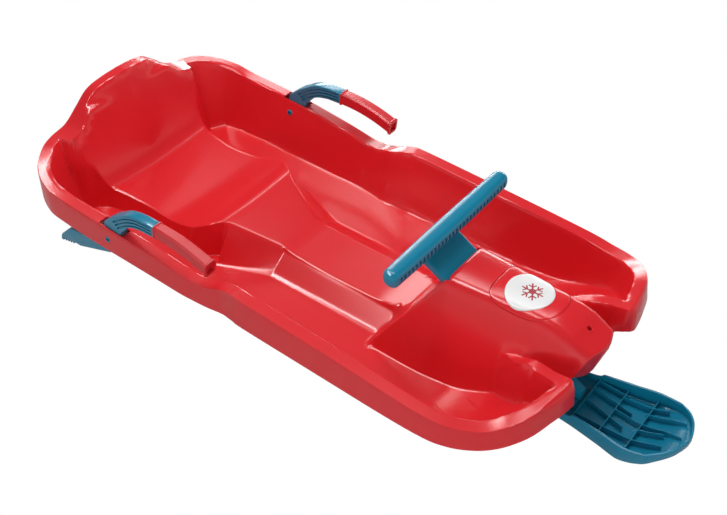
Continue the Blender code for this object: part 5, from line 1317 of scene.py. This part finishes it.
front_ski = ski_tray()
for x in RIBS_ACROSS:
    reach = float(ski_half(x)) - 0.4 * SKI_WALL
    cut_away(front_ski, ski_rib(x, -reach, x, reach), "UNION")
for ends in RIBS_ALONG:
    cut_away(front_ski, ski_rib(*ends), "UNION")
foot_top = FOOT_LOW + FOOT_THICK
for end in (-1, 1):
    for side in (1, -1):
        head = (FOOT_X + end * (0.5 * FOOT_LENGTH - 0.010), side * (FOOT_HALF - 0.008), foot_top + FIT)
        seat = Matrix.Translation(head) @ Matrix.Rotation(math.radians(90), 4, "Y")
        for target in (column, front_ski):
            cut_away(target, screw_gap(seat, foot_top + SKI_SCREW_PAST))
piece(front_ski, teal_plastic, "steering", "ski")


# Brake levers: moulded teal claws that turn on a pin in the rim, each with a bowed riser
# grooved on both sides, a toothed tail, a hub and a tang for the grip.
ARCH_X = -0.2945
ARCH_Z = 0.1825
ARCH_TALL = 0.0245
CLAW_TIP_X = -0.5300
CLAW_TIP_Z = 0.0080
CLAW_HEAD_X = -0.4850
CLAW_HEAD_Z = 0.0540
TOOTH_COUNT = 5
TOOTH_DEEP = 0.0045
GROOVE_PITCH = 0.0065
GROOVE_WIDE = 0.0030
GROOVE_DEEP = 0.0030
HUB_RADIUS = 0.0115
HUB_INNER_Y = SIDE_HALF - 0.0237
HUB_OUTER_Y = SIDE_HALF - 0.0047
GRIP_X = -0.2400
GRIP_Z = 0.1752
GRIP_TILT = math.radians(9.2)
TANG_WIDE = 0.0100
TANG_TALL = 0.0150
TANG_LENGTH = 0.048
TANG_LIFT = math.radians(6.5)


def lever_outline():
    """Side outline in order: claw, back, ledge over the rim, arch, end of the arch, underside and teeth."""
    back = spline([(CLAW_TIP_X, CLAW_TIP_Z + 0.0010), (CLAW_TIP_X + 0.0060, CLAW_TIP_Z + 0.0150),
                   (CLAW_HEAD_X - 0.0240, CLAW_HEAD_Z - 0.0160), (CLAW_HEAD_X - 0.0080, CLAW_HEAD_Z - 0.0020),
                   (CLAW_HEAD_X + 0.0100, CLAW_HEAD_Z + 0.0030), (CLAW_HEAD_X + 0.0400, CLAW_HEAD_Z + 0.0080),
                   (PIN_X - 0.0350, PIN_Z - 0.0160), (PIN_X - 0.0150, PIN_Z + 0.0010),
                   (PIN_X - 0.0100, PIN_Z + 0.0160)], 5)
    top = spline([(ARCH_X - 0.0790, ARCH_Z - 0.0500), (ARCH_X - 0.0510, ARCH_Z - 0.0270),
                  (ARCH_X - 0.0355, ARCH_Z - 0.0175), (ARCH_X - 0.0175, ARCH_Z - 0.0062), (ARCH_X, ARCH_Z),
                  (ARCH_X + 0.0175, ARCH_Z + 0.0033), (ARCH_X + 0.0365, ARCH_Z + 0.0048)], 6)
    lean = np.array([math.sin(GRIP_TILT), math.cos(GRIP_TILT)]) * 0.5 * ARCH_TALL
    end = np.array([GRIP_X, GRIP_Z]) + np.array([lean, -lean])
    under = spline([(ARCH_X + 0.0225, ARCH_Z - 0.0210), (ARCH_X + 0.0045, ARCH_Z - 0.0250),
                    (ARCH_X - 0.0090, ARCH_Z - 0.0300), (ARCH_X - 0.0188, ARCH_Z - 0.0365),
                    (ARCH_X - 0.0244, ARCH_Z - 0.0434), (ARCH_X - 0.0360, ARCH_Z - 0.0540),
                    (ARCH_X - 0.0405, ARCH_Z - 0.0610)], 6)
    belly = spline([(PIN_X + 0.0250, PIN_Z + 0.0080), (PIN_X + 0.0150, PIN_Z - 0.0140),
                    (PIN_X - 0.0060, PIN_Z - 0.0370), (PIN_X - 0.0250, PIN_Z - 0.0457),
                    (CLAW_HEAD_X + 0.0140, CLAW_HEAD_Z - 0.0325)], 5)
    heel = np.array([CLAW_HEAD_X - 0.0020, CLAW_HEAD_Z - 0.0370])
    toe = np.array([CLAW_TIP_X + 0.0040, CLAW_TIP_Z])
    way = (toe - heel) / TOOTH_COUNT
    tooth = ((0.0, TOOTH_DEEP), (0.30, 0.9 * TOOTH_DEEP), (0.62, 0.0), (0.84, 0.0))
    teeth = [heel + way * (k + share) + np.array([0, rise])
             for k in range(TOOTH_COUNT) for share, rise in tooth]
    return np.concatenate([back, top, end, under, belly, np.array(teeth), toe[None]])


def rounded(obj, width, segments, angle=40):
    """Round the edges of a closed mesh that are sharper than an angle."""
    mod = obj.modifiers.new("edge", "BEVEL")
    mod.width = width
    mod.segments = segments
    mod.limit_method = "ANGLE"
    mod.angle_limit = math.radians(angle)
    work_in(obj)


def arch_line(offset):
    """Line along the riser and arch at a distance from their middle."""
    pts = spline([(ARCH_X - 0.0490, ARCH_Z - 0.0445), (ARCH_X - 0.0330, ARCH_Z - 0.0315),
                  (ARCH_X - 0.0140, ARCH_Z - 0.0205), (ARCH_X + 0.0045, ARCH_Z - 0.0125),
                  (ARCH_X + 0.0245, ARCH_Z - 0.0088), (GRIP_X - 0.0060, GRIP_Z + 0.0005)], 8)
    way = np.gradient(pts, axis=0)
    way /= np.linalg.norm(way, axis=1)[:, None]
    return pts + np.column_stack([-way[:, 1], way[:, 0]]) * offset


def tang(name, side, rear, grow):
    """Oblong tongue that points into the grip, a little steeper than the grip itself."""
    tang_frame = (Matrix.Translation((GRIP_X, side * LEVER_Y, GRIP_Z))
                  @ Matrix.Rotation(GRIP_TILT - TANG_LIFT, 4, "Y"))
    half_y, half_z = 0.5 * TANG_WIDE + grow, 0.5 * TANG_TALL + grow
    return block(name, (rear, -half_y, -half_z), (TANG_LENGTH + grow, half_y, half_z), tang_frame)


def brake_lever(name, side):
    """Plate of the side outline with rounded edges, grooved along the arch on both faces, joined with its
    hub and tang, and bored."""
    half, mid = 0.5 * LEVER_WIDE, side * LEVER_Y
    lever = slab(name, lever_outline(), mid - half, mid + half, upright=False)
    rounded(lever, width=0.0012, segments=3, angle=50)
    for offset in (-GROOVE_PITCH, 0.0, GROOVE_PITCH):
        line = np.concatenate([arch_line(offset + 0.5 * GROOVE_WIDE),
                               arch_line(offset - 0.5 * GROOVE_WIDE)[::-1]])
        for face in (1, -1):
            low, high = sorted((mid + face * (half - GROOVE_DEEP), mid + face * (half + GROOVE_DEEP)))
            cut_away(lever, slab("groove", line, low, high, upright=False))
    low, high = sorted((side * HUB_INNER_Y, side * HUB_OUTER_Y))
    cut_away(lever, slab("hub", circle(HUB_RADIUS, 40, (PIN_X, PIN_Z)), low, high, upright=False), "UNION")
    cut_away(lever, tang("tang", side, -0.004, 0.0), "UNION")
    cut_away(lever, pin_bore(side))
    return lever


for side_name, side in (("left", 1), ("right", -1)):
    piece(brake_lever("lever_" + side_name, side), teal_plastic, "brake_" + side_name,
          "brake_lever_" + side_name)


# Brake grips: matt red sleeves pushed over the levers' tangs, bowed to the hand, with a raised
# lip at each end and a recess in the free end.
GRIP_LENGTH = 0.1215
GRIP_WIDE = 0.0185
GRIP_TALL = 0.0270
GRIP_BOW = 0.0064
GRIP_LIP = 0.0036
GRIP_SWELL = 0.14


def brake_grip(name, side):
    """Chamfered oblong rings along a parabola, wider towards the free end and more so at the two lips."""
    grip_frame = Matrix.Translation((GRIP_X, side * LEVER_Y, GRIP_Z)) @ Matrix.Rotation(GRIP_TILT, 4, "Y")
    stations = [(FIT, GRIP_LIP - 0.0008), (FIT + 0.0004, GRIP_LIP), (0.0021, GRIP_LIP),
                (0.0027, GRIP_LIP - 0.0006), (0.0040, 0.0)]
    stations += [(share * GRIP_LENGTH, 0.0) for share in np.linspace(0.08, 0.93, 26)]
    stations += [(GRIP_LENGTH - 0.0050, 0.0), (GRIP_LENGTH - 0.0034, GRIP_LIP - 0.0006),
                 (GRIP_LENGTH - 0.0027, GRIP_LIP), (GRIP_LENGTH - 0.0006, GRIP_LIP),
                 (GRIP_LENGTH, GRIP_LIP - 0.0010)]
    rings = []
    for at, more in stations:
        share = at / GRIP_LENGTH
        wide = GRIP_WIDE * (1 + GRIP_SWELL * share) + more
        tall = GRIP_TALL - 0.001 * share + more
        cut = 0.16 * wide
        y = np.array([0.5 * wide, 0.5 * wide - cut, -0.5 * wide + cut, -0.5 * wide])
        z = np.array([0.5 * tall - cut, 0.5 * tall, 0.5 * tall, 0.5 * tall - cut])
        section = np.column_stack([np.concatenate([y, y[::-1]]), np.concatenate([z, -z[::-1]])])
        section[:, 1] += 4 * GRIP_BOW * share * (1 - share)
        rings.append(in_frame(grip_frame, np.column_stack([np.full(8, at), section])))
    grip = loft(name, rings)
    half_y, half_z = 0.42 * GRIP_WIDE, 0.36 * GRIP_TALL
    cut_away(grip, block("end_recess", (GRIP_LENGTH - 0.005, -half_y, -half_z),
                         (GRIP_LENGTH + 0.01, half_y, half_z), grip_frame))
    cut_away(grip, tang("hole", side, -0.01, FIT))
    return grip


grip_plastic = plastic("grip_moulded_plastic", (0.70, 0.016, 0.026), roughness=0.38, pores=0.06)
for side_name, side in (("left", 1), ("right", -1)):
    piece(brake_grip("grip_" + side_name, side), grip_plastic, "brake_" + side_name,
          "brake_grip_" + side_name, angle=24)


# Brake pins: short teal tubes pushed through the rim and the lever's hub from outside.
# The lever turns on them, and they are held by their fit.
PIN_BORE = 0.0040
PIN_OUTER_Y = SIDE_HALF + 0.0008
PIN_INNER_Y = SIDE_HALF - 0.0330


def brake_pin(name, side):
    """Round bar across the rim with rounded ends, bored through."""
    low, high = sorted((side * PIN_INNER_Y, side * PIN_OUTER_Y))
    across = Matrix.Translation((PIN_X, 0, PIN_Z)) @ Matrix.Rotation(math.radians(90), 4, "Z")
    pin = rod(name, PIN_RADIUS, low, high, across, bevel=0.0005)
    cut_away(pin, rod("bore", PIN_BORE, low - 0.01, high + 0.01, across, sides=40, bevel=0.0001))
    return pin


for side_name, side in (("left", 1), ("right", -1)):
    piece(brake_pin("pin_" + side_name, side), teal_plastic, "tub", "brake_pin_" + side_name)


# Fittings inside the hood: moulded red plates and grey bushes carry the shaft, and zinc-plated
# steel holds bar, ski and shaft. All but the front plate keep the frame's own shapes.
FRONT_BEARING_X = 0.330
BEARING_FOOT_Z = 0.078
BUSH_WALL = 0.0025
PLATE_HALF = 0.052
PLATE_POINTS = 41
STEEL_DARK = (0.50, 0.51, 0.53)
STEEL_PALE = (0.66, 0.67, 0.68)
STEEL_ROUGHNESS = (0.28, 0.45)
TARNISH_SCALE = 160.0


def steel_material():
    """Zinc-plated steel: a cool grey metal whose colour and polish change with a cloudy tarnish."""
    mat = bpy.data.materials.new("zinc_plated_steel")
    mat.use_nodes = True
    tree = mat.node_tree
    shader = tree.nodes["Principled BSDF"]
    shader.inputs["Metallic"].default_value = 1.0
    cloud = noise_in(tree, tree.nodes.new("ShaderNodeTexCoord").outputs["Object"], TARNISH_SCALE)
    tree.links.new(mixed(tree, cloud, STEEL_DARK, STEEL_PALE), shader.inputs["Base Color"])
    tree.links.new(ranged(tree, cloud, (0.0, 1.0), STEEL_ROUGHNESS), shader.inputs["Roughness"])
    return mat


def front_bearing():
    """Upright plate across the hood, its top edge the hood's surface less a little more than the wall."""
    y = np.linspace(-PLATE_HALF, PLATE_HALF, PLATE_POINTS)
    rear, front = FRONT_BEARING_X, FRONT_BEARING_X + BEARING_THICK
    over = np.minimum(surface(np.full(PLATE_POINTS, rear), y), surface(np.full(PLATE_POINTS, front), y))
    outline = np.concatenate([np.column_stack([y, over - 1.35 * WALL]),
                              [(PLATE_HALF, BEARING_FOOT_Z), (-PLATE_HALF, BEARING_FOOT_Z)]])
    plate = loft("front_plate", [np.column_stack([np.full(len(outline), x), outline]) for x in (rear, front)])
    rounded(plate, width=0.0006, segments=2)
    cut_away(plate, rod("hole", SHAFT_RADIUS + 2 * FIT + BUSH_WALL, along_axis(rear) - 0.03,
                        along_axis(rear) + 0.05, axis_frame))
    return plate


steel = steel_material()
inner_red = plastic("inner_red_plastic", (0.50, 0.012, 0.018), roughness=0.42, pores=0.05)
bush_grey = plastic("bush_grey_plastic", (0.34, 0.35, 0.36), roughness=0.40, pores=0.05)
piece(front_bearing(), inner_red, "tub", "front_bearing_plate")
kept = {node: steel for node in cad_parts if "screw" in node}
kept.update(rear_bearing_plate=inner_red, rear_bush=bush_grey, front_bush=bush_grey, retaining_ring=steel)
for node, mat in kept.items():
    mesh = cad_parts[node].data
    mesh.materials.clear()
    mesh.materials.append(mat)
